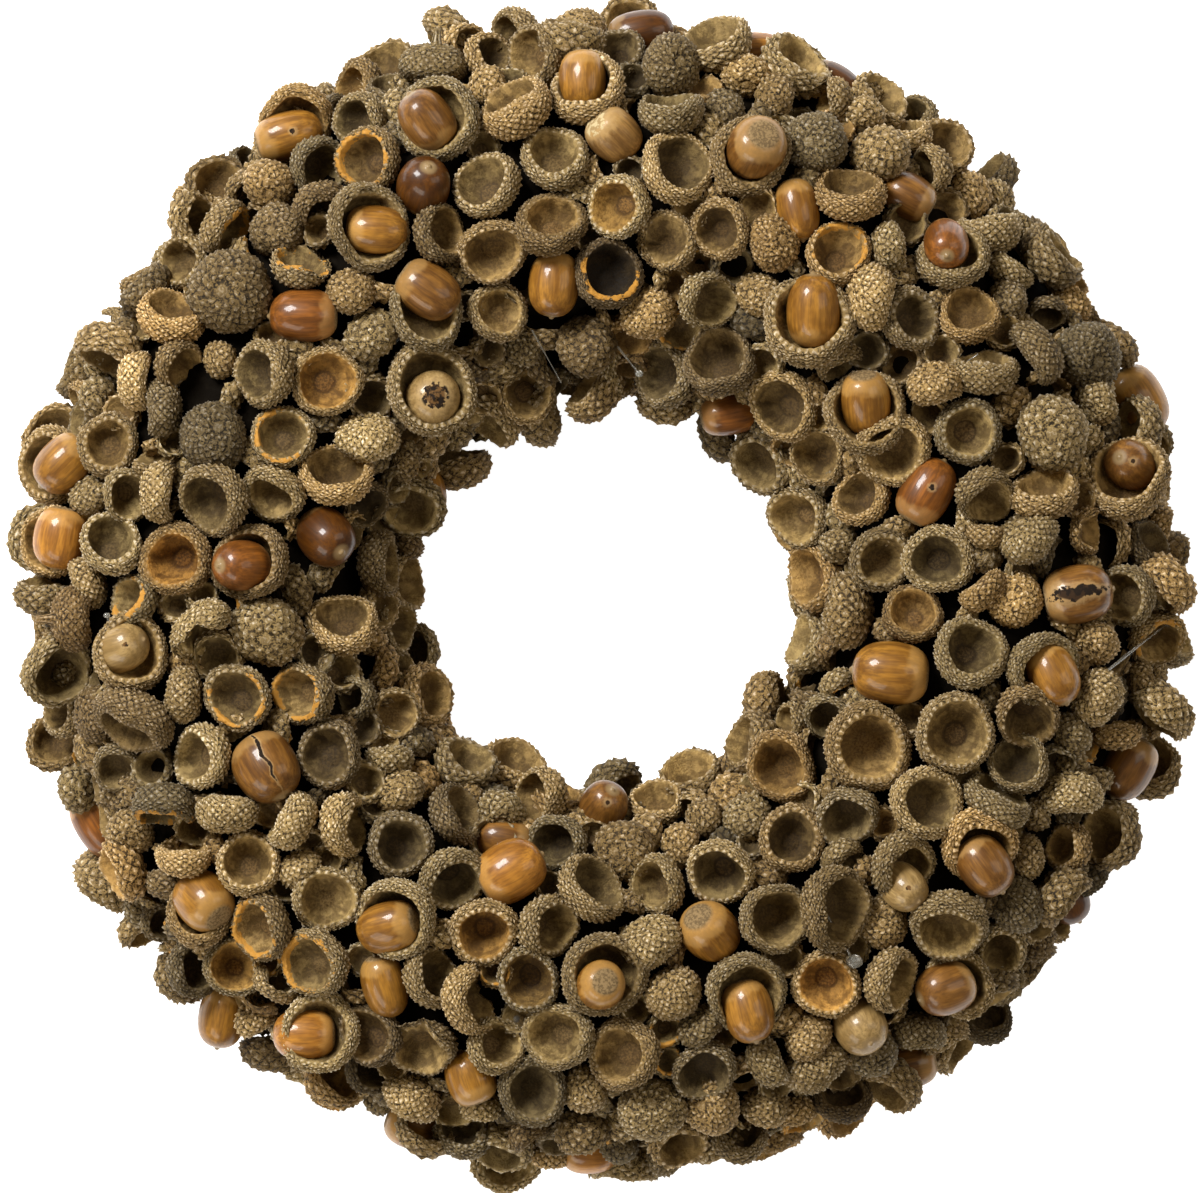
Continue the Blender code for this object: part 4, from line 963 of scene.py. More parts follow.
@dataclass(frozen=True)
class NutFinish:
    """A lacquered acorn shell: streaks from scar to tip, a dull scar, and a pale tip."""

    tone: Tone
    light: tuple
    dark: tuple
    scar: tuple = colour(0.25, 0.165, 0.075)
    # Painted shade: holes and cracks are painted on the shell, not cut. pit is the near-black shade of the
    # hollow, mixed with torn, the dark brown inside. On the crusted acorn, pit and torn are the gall's pale
    # crust instead.
    pit: tuple = colour(0.010, 0.005, 0.002)
    torn: tuple = colour(0.030, 0.014, 0.005)
    torn_edge: tuple = colour(0.46, 0.31, 0.14)
    streak: tuple = colour(0.02, 0.01, 0.003)
    shoulder: tuple = colour(0.52, 0.34, 0.13)
    point: tuple = colour(0.25, 0.165, 0.075)
    scar_fleck: tuple = colour(0.05, 0.03, 0.012)
    roughness: float = 0.42
    coat: float = 0.38

    def material(self, mottle: bpy.types.NodeTree, grit: bpy.types.NodeTree) -> bpy.types.Material:
        """Builds the shell's material.

        Args:
            mottle: The group that gives cloudy patches.
            grit: The group that gives fine grit.

        Returns:
            The material.
        """
        made, recipe, shader, where = started(f"shell_{self.tone.value}")
        grain = recipe.node("Attribute", attribute_name="grain").outputs["Vector"]
        zones = recipe.node("Attribute", attribute_name="zones").outputs["Color"]
        scarred, along, _ = recipe.node("SeparateColor", {0: zones}).outputs
        mark = recipe.node("Attribute", attribute_name="mark").outputs["Vector"]
        off = recipe.node("VectorMath", {0: mark}, operation="LENGTH").outputs["Value"]

        streaks = recipe.group(mottle, Vector=grain, Scale=1500.0, Low=0.38, High=0.66)
        bands = recipe.group(mottle, Vector=grain, Scale=420.0, Low=0.34, High=0.66)
        patches = recipe.group(mottle, Vector=where, Scale=160.0, Low=0.38, High=0.66)
        body = recipe.mix(recipe.times(bands, 0.70), self.light, self.dark)
        body = recipe.mix(recipe.times(patches, 0.45), body, self.dark)
        body = recipe.mix(recipe.times(streaks, 0.42), body, recipe.mix(0.5, self.dark, self.streak))
        capped = recipe.between(recipe.unsettled(along, patches, 0.10), 0.30, 0.19)
        body = recipe.mix(recipe.times(capped, 0.55), body, recipe.mix(0.45, self.light, self.shoulder))
        body = recipe.mix(recipe.between(along, 0.965, 0.99), body, self.point)
        specks = recipe.group(mottle, Vector=where, Scale=1300.0, Low=0.40, High=0.60)
        scar = recipe.mix(specks, self.scar, recipe.mix(0.6, self.scar, self.scar_fleck))
        body = recipe.mix(scarred, body, scar)
        tears = recipe.group(mottle, Vector=where, Scale=620.0, Low=0.42, High=0.58)
        ragged = recipe.unsettled(off, tears, 0.0003)
        body = recipe.mix(recipe.times(recipe.between(ragged, 0.0018, 0.0009), 0.4), body, self.torn_edge)
        # Painted shade: the near-black middle of a painted hole or crack stands in for the shade in its
        # hollow.
        pit = recipe.between(ragged, 0.0009, 0.0007)
        bare = recipe.math("MAXIMUM", scarred, pit)
        dull = recipe.math("ADD", bare, recipe.times(streaks, 0.25), True)
        recipe.plug(shader, {
            "Base Color": recipe.mix(pit, body, recipe.mix(tears, self.pit, self.torn)),
            "Normal": recipe.bump(recipe.group(grit, Vector=grain, Scale=1700.0, Share=0.4), 0.10, 0.0003),
            "Roughness": recipe.spread(dull, self.roughness, 0.85),
            "Coat Weight": recipe.spread(bare, self.coat, 0.0),
            "Coat Roughness": 0.11,
            "Specular IOR Level": 0.22,
        })
        return made


@dataclass(frozen=True)
class FilmFinish:
    """Black stretch film, wrinkled and a little dusty, for the former and for the bed of glue."""

    name: str
    base: tuple = colour(0.0045, 0.003, 0.0015)
    dust: tuple = colour(0.020, 0.015, 0.010)
    roughness: float = 0.34
    wrinkle: float = 0.35
    shine: float = 0.3

    def material(self, mottle: bpy.types.NodeTree, grit: bpy.types.NodeTree) -> bpy.types.Material:
        """Builds the film's material.

        Args:
            mottle: The group that gives cloudy patches.
            grit: The group that gives fine grit.

        Returns:
            The material.
        """
        made, recipe, shader, where = started(self.name)
        dust = recipe.group(mottle, Vector=where, Scale=260.0, Low=0.48, High=0.78)
        folds = recipe.group(grit, Vector=where, Scale=220.0, Share=0.8)
        recipe.plug(shader, {
            "Base Color": recipe.mix(recipe.times(dust, 0.35), self.base, self.dust),
            "Normal": recipe.bump(folds, self.wrinkle, 0.0012),
            "Roughness": recipe.spread(dust, self.roughness, 0.75),
            "Specular IOR Level": self.shine,
        })
        return made


@dataclass(frozen=True)
class GlueFinish:
    """Clear hot glue, in strings and blobs."""

    tint: tuple = colour(0.80, 0.80, 0.76)

    def material(self, grit: bpy.types.NodeTree) -> bpy.types.Material:
        """Builds the glue's material.

        Args:
            grit: The group that gives fine grit.

        Returns:
            The material.
        """
        made, recipe, shader, where = started("clear_glue")
        ripples = recipe.group(grit, Vector=where, Scale=500.0, Share=0.3)
        recipe.plug(shader, {
            "Base Color": self.tint,
            "Normal": recipe.bump(ripples, 0.2, 0.0004),
            "Roughness": 0.12,
            "Transmission Weight": 0.85,
            "IOR": 1.45,
        })
        return made


def new_piece(name: str, mesh: bpy.types.Mesh, material: bpy.types.Material) -> bpy.types.Object:
    """Makes a finished piece that rides with the wreath.

    Args:
        name: The piece's name.
        mesh: Its mesh, with its place in it.
        material: Its finish.

    Returns:
        The piece.
    """
    mesh.name = name
    mesh.materials.clear()
    mesh.materials.append(material)
    mesh.polygons.foreach_set("use_smooth", np.ones(len(mesh.polygons), bool))
    piece = bpy.data.objects.new(name, mesh)
    bpy.context.scene.collection.objects.link(piece)
    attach(piece, "root")
    LOG.info("%s: %d faces", name, len(mesh.polygons))
    return piece


def spun(profile: list[tuple[float, float]], columns: int, closed: bool = False) -> bmesh.types.BMesh:
    """A profile turned full circle about Z, each vertex marked with the row that it came from.

    Args:
        profile: The radius and height of each row.
        columns: How many steps the turn has.
        closed: Whether the profile's ends meet.

    Returns:
        The turned shape, with a row layer.
    """
    bm = bmesh.new()
    layer = bm.verts.layers.float.new("row")
    verts = []
    for row, (wide, high) in enumerate(profile):
        vert = bm.verts.new((wide, 0.0, high))
        vert[layer] = row
        verts.append(vert)
    pairs = list(zip(verts, verts[1:])) + ([(verts[-1], verts[0])] if closed else [])
    edges = [bm.edges.new(pair) for pair in pairs]
    bmesh.ops.spin(bm, geom=verts + edges, axis=(0, 0, 1), angle=2 * math.pi, steps=columns, use_merge=True)
    bmesh.ops.remove_doubles(bm, verts=bm.verts, dist=1e-6)
    bmesh.ops.recalc_face_normals(bm, faces=bm.faces)
    return bm


def made_mesh(bm: bmesh.types.BMesh, name: str = "turned") -> bpy.types.Mesh:
    """A mesh from a bmesh, which is freed.

    Args:
        bm: The mesh being edited, which is freed.
        name: Its name.

    Returns:
        The mesh.
    """
    mesh = bpy.data.meshes.new(name)
    bm.to_mesh(mesh)
    bm.free()
    return mesh


def points_of(mesh: bpy.types.Mesh) -> tuple[np.ndarray, np.ndarray]:
    """A turned mesh's points and the row that each is on.

    Args:
        mesh: The mesh.

    Returns:
        The points and the number of each one's row.
    """
    points = np.empty(len(mesh.vertices) * 3)
    mesh.vertices.foreach_get("co", points)
    rows = np.empty(len(mesh.vertices))
    mesh.attributes["row"].data.foreach_get("value", rows)
    return points.reshape(-1, 3), np.round(rows).astype(int)


def paint(mesh: bpy.types.Mesh, name: str, values: np.ndarray) -> None:
    """Stores a colour at each of a mesh's points."""
    layer = mesh.attributes.new(name, "FLOAT_COLOR", "POINT")
    layer.data.foreach_set("color", np.ascontiguousarray(values, dtype=np.float32).ravel())


def placed(points: np.ndarray, matrix: Matrix) -> np.ndarray:
    """Points moved by a matrix."""
    turn = np.array(matrix)
    return points @ turn[:3, :3].T + turn[:3, 3]


class Row(NamedTuple):
    """One row of a cup's profile: its place, how strong its scales are, and where it belongs."""

    wide: float
    high: float
    relief: float
    period: int
    inside: float
    along: float
    phase: float = 0.0


@dataclass
class CupCraft:
    """Shapes one acorn cup: a bowl of scales in staggered rows that curl over its rim, hollow inside."""

    column_pitch: float = 0.00130
    row_pitch: float = 0.00102
    relief: float = 0.00034
    equator: float = -0.30
    fullness: float = 0.72
    wall_range: tuple = (0.19, 0.29)
    most_columns: int = 60
    least_columns: int = 20
    most_rows: int = 16
    outer_arc: float = 1.62
    hidden_coarseness: float = 1.6
    shaggy_coarseness: float = 1.35
    bowl_depth: tuple = (0.60, 0.80)
    foot_scar: float = 0.17
    charred_side: float = math.radians(-108)
    jitter: float = 0.30
    bowl_sway: float = 0.07
    oval: float = 0.08
    lobes: tuple = (0.024, 0.014)
    rim_waves: tuple = (0.06, 0.055, 0.03)
    gap_width: tuple = (0.9, 1.5)
    gap_floor: tuple = (-0.75, -0.45)
    gap_top: float = 0.25

    def rows(self, cup: Laid, draw: np.random.Generator) -> list[Row]:
        """The cup's profile from the middle of its foot, over its rim, to the middle of its bowl.

        Args:
            cup: The cup as it lies.
            draw: The looks' random numbers.

        Returns:
            The rows, in metres.
        """
        coarse = self.coarseness(cup)
        open_ = cup.axis.z > 0.6
        first = math.radians(-40 if open_ else -77)
        last = math.radians(66)
        arc = self.outer_arc * (last - first) / math.radians(143)
        count = int(np.clip(round(arc * cup.radius / (self.row_pitch * coarse)), 5, self.most_rows))
        wall = draw.uniform(*self.wall_range)
        depth = draw.uniform(*self.bowl_depth)
        scar = draw.uniform(0.24, 0.34)
        relief = self.relief * coarse ** 0.4 * math.sqrt(cup.radius / 0.0095)
        made = [Row(0.0, -0.92, 0.0, -1, 0.0, 0.0), Row(self.foot_scar - 0.04, -0.955, 0.0, -1, 0.0, 0.02),
                Row(self.foot_scar + 0.02, -0.925, 0.0, 0, 0.0, 0.02),
                Row(self.foot_scar + 0.08, -0.955, relief, 0, 0.0, 0.03)]
        if cup.has(Trait.STEM):
            made = [Row(0.0, -1.46, 0.0, -1, 0.0, 0.0), Row(0.11, -1.45, 0.0, -1, 0.0, 0.0),
                    Row(0.105, -1.25, 0.3 * relief, 8, 0.0, 0.01),
                    Row(0.15, -1.05, 0.3 * relief, 8, 0.0, 0.02),
                    Row(self.foot_scar + 0.06, -0.95, relief, 0, 0.0, 0.03)]
        elif open_:
            made = [Row(0.0, -0.95, 0.0, -1, 0.0, 0.0), Row(0.60, -0.90, 0.0, -1, 0.0, 0.02)]
        sweep = np.linspace(first, last, count)
        for number, angle in enumerate(sweep):
            if angle < 0:
                wide = math.cos(angle) ** self.fullness
                high = self.equator + (1 + self.equator) * math.sin(angle)
            else:
                wide = 1 - wall + wall * math.cos(angle)
                high = self.equator + (0.03 - self.equator) * math.sin(angle)
            strength = relief * (0.75 if number in (0, count - 1) else 1.25 if number > count - 4 else 1.0)
            period = 2 if wide > 0.66 or angle > 0 else 4 if wide > 0.33 else 8
            phase = number / 2 if period == 2 else draw.random()
            if made[-1].period > 2:
                made.append(Row((made[-1].wide + wide) / 2, (made[-1].high + high) / 2, relief, 0, 0.0, 0.04))
            made.append(Row(wide, high, strength, period, 0.0, 0.05 + 0.85 * (number + 1) / count, phase))
        made.append(Row(1 - wall, 0.035, 0.25 * relief, 2, 0.35, 0.96))
        if cup.axis.z < -0.35:
            made += [Row(0.66, -0.25, 0.0, 2, 1.0, 0.8), Row(0.0, -depth, 0.0, 2, 1.0, 0.0)]
        else:
            made.append(Row(1 - wall - 0.035, -0.02, 0.08 * relief, 2, 1.0, 0.93))
            for share in (0.28, 0.55, 0.82) if cup.listed else (0.4, 0.8):
                angle = math.radians(90) * share
                wide = (1 - wall - 0.04) * math.cos(angle) ** 0.55
                made.append(Row(max(wide, scar + 0.04), -depth * math.sin(angle) ** 1.15, 0.0, 2, 1.0,
                                max(wide, scar + 0.04)))
            made.append(Row(scar, -depth * 1.0, 0.0, 2, 1.0, 0.27))
            if cup.listed:
                made.append(Row(scar * 0.82, -depth * 0.965, 0.0, 2, 1.0, 0.2))
            made.append(Row(0.0, -depth * 0.985, 0.0, 2, 1.0, 0.0))
        return [row._replace(wide=row.wide * cup.radius, high=row.high * cup.height) for row in made]

    def coarseness(self, cup: Laid) -> float:
        """How much coarser than usual a cup's scales are.

        Args:
            cup: The cup as it lies.

        Returns:
            How many times the usual width a scale has.
        """
        if not cup.listed:
            return self.hidden_coarseness
        shaggy = cup.has(Trait.COARSE) or cup.has(Trait.SHAGGY)
        return self.shaggy_coarseness if shaggy else 1.0

    def make(self, cup: Laid, draw: np.random.Generator) -> bpy.types.Mesh:
        """Shapes and colours one cup in its place.

        Args:
            cup: The cup as it lies.
            draw: The looks' random numbers.

        Returns:
            The cup's mesh, in the wreath's frame.
        """
        rows = self.rows(cup, draw)
        columns = 2 * math.pi * cup.radius / (self.column_pitch * self.coarseness(cup))
        columns = 4 * round(float(np.clip(columns, self.least_columns, self.most_columns)) / 4)
        bm = spun([(row.wide, row.high) for row in rows], columns)
        self.part_scales(bm, rows, columns)
        mesh = made_mesh(bm)
        points, index = points_of(mesh)
        profile = np.array([row[:2] for row in rows])
        tangent = np.gradient(profile, axis=0)
        tangent /= np.linalg.norm(tangent, axis=1)[:, None]
        normal = np.stack([tangent[:, 1], -tangent[:, 0]], axis=1)
        table = np.array([row[2:] for row in rows], dtype=float)
        relief, period, inside, along, phase = table[index].T

        bearing = np.arctan2(points[:, 1], points[:, 0])
        column = np.round(bearing / (2 * math.pi / columns))
        bowl_warp = draw.normal(0.0, 0.012, len(points)) * (inside > 0.5) * cup.radius
        knob = np.where(period > 0, np.cos(2 * math.pi * (column / np.maximum(period, 1) + phase)), -0.8)
        knob = np.where(period < 0, 0.05, knob)
        jitter = draw.normal(0.0, self.jitter, len(points))
        push = relief * (knob * draw.uniform(0.75, 1.3, len(points)) + jitter)
        climb = relief * (1.1 * (knob > 0) + draw.normal(0.0, 0.5, len(points))) * (1 - inside)
        bearing = bearing + (relief > 0) * draw.normal(0.0, 0.22, len(points)) * 2 * math.pi / columns
        radius = np.hypot(points[:, 0], points[:, 1])
        sway = draw.normal(0.0, self.bowl_sway, 2) * cup.radius
        sway = sway * np.clip(1 - along, 0, 1)[:, None] * (inside > 0.5)[:, None]
        radius = radius + push * normal[index, 0] + climb * tangent[index, 0] + bowl_warp * (radius > 1e-5)
        high = points[:, 2] + push * normal[index, 1] + climb * tangent[index, 1]

        radius, high = self.warped(cup, draw, column, bearing, radius, high)
        shaped = np.stack([radius * np.cos(bearing), radius * np.sin(bearing), high], axis=1)
        shaped[:, :2] += sway
        shaped = placed(shaped, cup.stand())
        mesh.vertices.foreach_set("co", shaped.ravel())
        mesh.update()
        strands = draw.random(columns)[column.astype(int) % columns] * np.clip(along / 0.5, 0.2, 1)
        # The third mask, from each point's relief, sets the painted shade in the crevices and the painted
        # highlight on the scale tips.
        self.colour(mesh, cup, draw, inside, along, 0.5 + 0.42 * knob + 0.2 * jitter * (relief > 0),
                    shaped - np.array(cup.origin), strands)
        return mesh

    def warped(self, cup: Laid, draw: np.random.Generator, column: np.ndarray, bearing: np.ndarray,
               radius: np.ndarray, high: np.ndarray) -> tuple[np.ndarray, np.ndarray]:
        """Warps a cup as it dries, and breaks a piece off its rim where it is broken.

        Args:
            cup: The cup as it lies.
            draw: The looks' random numbers.
            column: The step of the turn that each point is on.
            bearing: Each point's bearing about the cup's axis.
            radius: How far it lies from the axis.
            high: Its height over the mouth.

        Returns:
            The new radii and heights.
        """
        oval, (twist, wave, lobe) = draw.uniform(-self.oval, self.oval), draw.uniform(0, 2 * math.pi, 3)
        three, five = self.lobes
        radius = radius * (1 + oval * np.cos(2 * (bearing - twist)) + three * np.cos(3 * (bearing - lobe))
                           + five * np.cos(5 * (bearing - wave)))
        rise = np.clip(1 + high / cup.height, 0, 1.2)
        two, one, four = self.rim_waves
        high = high + cup.height * rise ** 2 * (
            two * np.cos(2 * (bearing - wave)) + one * np.cos(bearing - lobe)
            + four * np.cos(4 * (bearing - twist)))
        if cup.has(Trait.BROKEN):
            width, low = draw.uniform(*self.gap_width), draw.uniform(*self.gap_floor)
            off = np.abs((bearing - twist + math.pi) % (2 * math.pi) - math.pi)
            ragged = 0.05 * np.sin(column * 1.9) + 0.04 * np.sin(column * 0.7 + 1)
            past = np.clip((off - width * 0.6) / (width * 0.7), 0, 1)
            high = np.minimum(high, cup.height * (low + ragged + (self.gap_top - low) * past))
        return radius, high

    def part_scales(self, bm: bmesh.types.BMesh, rows: list[Row], columns: int) -> None:
        """Joins the low points between scales across each face, so that every scale stands by itself.

        Args:
            bm: The turned cup.
            rows: The cup's profile.
            columns: How many steps the turn has.
        """
        layer = bm.verts.layers.float["row"]
        low = []
        for vert in bm.verts:
            number = round(vert[layer])
            row = rows[number]
            if row.relief <= 0 or row.period != 2 or math.hypot(vert.co.x, vert.co.y) < 1e-5:
                continue
            column = round(math.atan2(vert.co.y, vert.co.x) / (2 * math.pi / columns))
            if math.cos(2 * math.pi * (column / row.period + row.phase)) < -0.5:
                low.append(vert)
        bmesh.ops.connect_verts(bm, verts=low)

    def colour(self, mesh: bpy.types.Mesh, cup: Laid, draw: np.random.Generator, inside: np.ndarray,
               along: np.ndarray, relief: np.ndarray, away: np.ndarray, strands: np.ndarray) -> None:
        """Stores what the cups' finish reads at each point.

        Args:
            mesh: The cup's mesh.
            cup: The cup as it lies.
            draw: The looks' random numbers.
            inside: Whether each point is in the bowl.
            along: How far up the wall each point is.
            relief: How proud of its neighbours each point stands, which sets the finish's painted shade in
                the crevices and painted highlight on the scale tips.
            away: Where each point lies from the middle of the mouth.
            strands: How dark the bowl's strand is at each point.
        """
        count = len(mesh.vertices)
        tone = float(np.clip(draw.normal(1.0, 0.23), 0.55, 1.5))
        warm = float(np.clip(draw.normal(0.005, 0.05), -0.04, 0.15))
        hue = np.array([1 + warm, 0.985, 1 - 1.3 * warm])
        tint = tone * hue
        bowl = hue * float(np.clip(draw.normal(1.02, 0.21), 0.5, 1.45))
        ochre = draw.random() * 0.36
        if cup.has(Trait.LIGHT):
            tint, bowl = tint * 1.28, bowl * 1.2
        if cup.has(Trait.GREY):
            tint, bowl = tint * np.array([0.62, 0.635, 0.68]), bowl * np.array([0.55, 0.56, 0.60])
        if cup.has(Trait.AMBER):
            bowl = bowl * np.array([1.45, 1.2, 0.8])
        side, least = draw.uniform(-math.pi, math.pi), 0.55
        if cup.has(Trait.OCHRE):
            ochre = 1.0
        if cup.has(Trait.CHARRED):
            tint, bowl, ochre = tint * np.array([0.40, 0.42, 0.48]), bowl * 0.10, 1.1
            side, least = self.charred_side, 0.12
        facing = np.cos(np.arctan2(away[:, 1], away[:, 0]) - side)
        ochre = ochre * np.clip(least + (1 - least) * (0.6 + 0.9 * facing), 0, 1)
        paint(mesh, "zones", np.stack([inside, along, np.clip(relief, 0, 1), strands], axis=1))
        paint(mesh, "tint", np.column_stack([np.tile(np.clip(tint, 0, 2), (count, 1)), ochre]))
        scar = draw.uniform(0.1, 0.8) if not (cup.has(Trait.BUTTON) or cup.has(Trait.AMBER)) else 1.0
        paint(mesh, "bowl", np.tile([*np.clip(bowl, 0, 2), scar], (count, 1)))


@dataclass
class CupSectors:
    """The cups of the whole band, in the solids' six sectors, so that the hole stays open between them."""

    band: Band
    cups: list[Laid]
    craft: CupCraft = field(default_factory=CupCraft)
    seed: int = 7

    def build(self, finish: bpy.types.Material) -> None:
        """Builds one piece for each sector.

        Args:
            finish: The cups' material.
        """
        draw = np.random.default_rng(self.seed)
        meshes = [(self.band.sector_of(cup.bearing), self.craft.make(cup, draw)) for cup in self.cups]
        for sector in range(self.band.sectors):
            bm = bmesh.new()
            for number, mesh in meshes:
                if number == sector:
                    bm.from_mesh(mesh)
            piece = new_piece(f"scaled_cups_{sector + 1}", made_mesh(bm), finish)
            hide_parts(f"cups_{sector + 1}")
        for _, mesh in meshes:
            bpy.data.meshes.remove(mesh)


@dataclass
class Acorns:
    """The loose acorns, each in its own place, with its scar, its shoulders and its tip."""

    nuts: list[Laid]
    columns: int = 30
    seed: int = 11
    profile: tuple = (
        (0.0, -0.985), (0.22, -0.985), (0.40, -0.97), (0.50, -0.945), (0.545, -0.915), (0.63, -0.885),
        (0.76, -0.79), (0.865, -0.66), (0.94, -0.49), (0.985, -0.30), (1.0, -0.09), (0.99, 0.13),
        (0.955, 0.33), (0.89, 0.52), (0.79, 0.68), (0.65, 0.81), (0.48, 0.905), (0.30, 0.955),
        (0.17, 0.975), (0.115, 0.99), (0.085, 1.03), (0.05, 1.05), (0.0, 1.055),
    )
    scar_rows: int = 4

    def make(self, nut: Laid, draw: np.random.Generator) -> bpy.types.Mesh:
        """Shapes one acorn in its place.

        Args:
            nut: The acorn as it lies.
            draw: The looks' random numbers.

        Returns:
            The acorn's mesh, in the wreath's frame.
        """
        profile = [(wide * nut.radius, high * nut.height) for wide, high in self.profile]
        mesh = made_mesh(spun(profile, self.columns))
        points, index = points_of(mesh)
        bearing = np.arctan2(points[:, 1], points[:, 0])
        phase, lobe = draw.uniform(0, 2 * math.pi, 2)
        swell = 1 + 0.018 * np.cos(2 * (bearing - phase)) + 0.012 * np.cos(3 * (bearing - lobe))
        points[:, :2] *= swell[:, None]
        share = points[:, 2] / nut.height
        points[:, 0] += nut.radius * 0.03 * math.cos(phase) * share ** 2
        scarred = np.clip((self.scar_rows - index + 0.5), 0, 1).astype(float)
        along = np.clip((share + 1) / 2, 0, 1)
        grain = points * np.array([1.0, 1.0, 0.09]) + np.array([0.0, 0.0, draw.uniform(0, 1)])
        layer = mesh.attributes.new("grain", "FLOAT_VECTOR", "POINT")
        layer.data.foreach_set("vector", grain.astype(np.float32).ravel())
        layer = mesh.attributes.new("mark", "FLOAT_VECTOR", "POINT")
        layer.data.foreach_set("vector", self.marked(nut, points, bearing).astype(np.float32).ravel())
        mesh.vertices.foreach_set("co", placed(points, nut.stand()).ravel())
        mesh.update()
        paint(mesh, "zones", np.stack([scarred, along, along * 0, np.ones(len(points))], axis=1))
        return mesh

    def marked(self, nut: Laid, points: np.ndarray, bearing: np.ndarray) -> np.ndarray:
        """How far each point lies from the acorn's hole or crack, on the side that shows from the front.

        Args:
            nut: The acorn as it lies.
            points: Its points, on its own axis.
            bearing: Their bearings about that axis.

        Returns:
            A vector for each point, a millimetre long at the mark's edge.
        """
        front = np.array(nut.stand().to_3x3().inverted() @ Vector((0.12, 0.10, 1.0)))
        if nut.has(Mark.CRACK) and abs(nut.axis.z) < 0.8:
            turn = (bearing - math.atan2(front[1], front[0]) + math.pi) % (2 * math.pi) - math.pi
            bend = 0.0005 * np.sin(points[:, 2] * 800) + 0.0003 * np.sin(points[:, 2] * 2100 + 1)
            narrow = 0.26 if nut.has(Mark.WIDE) else 1.0
            taper = 1 + 60 * (points[:, 2] + nut.height)
            across = (turn * nut.radius + bend) * narrow * taper
            return np.stack([across, points[:, 2] * 0.10, turn * 0], axis=1)
        if nut.has(Mark.GALL):
            front = np.array(nut.stand().to_3x3().inverted() @ Vector((-0.75, 0.45, 0.65)))
        spot = front * np.array([nut.radius, nut.radius, nut.height]) / np.linalg.norm(front)
        torn = nut.has(Mark.CRACK) or nut.has(Mark.GALL)
        size = 1.0 if nut.has(Mark.HOLE) else 0.23 if torn else 0.0
        return (points - spot) * size + (0.02 if size == 0 else 0.0)

    def build(self, finishes: dict[Tone, bpy.types.Material]) -> None:
        """Builds one piece for each acorn.

        Args:
            finishes: The shells' materials, by tone.
        """
        draw = np.random.default_rng(self.seed)
        for number, nut in enumerate(self.nuts, start=1):
            piece = new_piece(f"acorn_{number:02d}", self.make(nut, draw), finishes[nut.tone])
            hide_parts(f"nut_{number:02d}")


@dataclass
class Slivers:
    """Acorns sunk so deep between the cups that only a sliver of each shows."""

    band: Band
    places: tuple = (
        Nut(128, 100, -40, 0, 17, 13, 0, Tone.DARK), Nut(139, -91, -60, 0, 17, 13, 0, Tone.DARK),
        Nut(-50, -148, 100, 0, 15, 12, 0, Tone.RED), Nut(-28, -69, 170, 0, 17, 14, 0, Tone.BROWN),
    )
    depth: float = 0.0045

    def build(self, layout: Layout, acorns: Acorns, finishes: dict[Tone, bpy.types.Material]) -> None:
        """Builds one piece for each acorn.

        Args:
            layout: The rule that finds a place on the band.
            acorns: The shape of an acorn.
            finishes: The shells' materials, by tone.
        """
        draw = np.random.default_rng(acorns.seed + 1)
        for number, nut in enumerate(self.places, start=1):
            axis, radius, half = pointing(nut.heading, 90 - nut.lift), nut.width / 2000, nut.length / 2000
            right, up = nut.right / 1000, nut.up / 1000
            bearing = math.atan2(up, right)
            lean = layout.lean_under(right, up, axis, layout.nut_profile, radius, half, -self.depth)
            foot, normal, _ = self.band.seat(bearing, lean)
            reach = layout.reach_down(layout.nut_profile, axis, normal, radius, half)
            lift = reach - layout.root - self.depth
            laid = Laid(foot + normal * lift, axis, normal, 0.0, radius, half, bearing, "", nut.tone, True)
            new_piece(f"acorn_sliver_{number}", acorns.make(laid, draw), finishes[nut.tone])


class Strand(NamedTuple):
    """One string of glue: its two ends (mm, seen from the front), its width and the blob at its end."""

    start: tuple[float, float]
    end: tuple[float, float]
    width: float
    blob: float


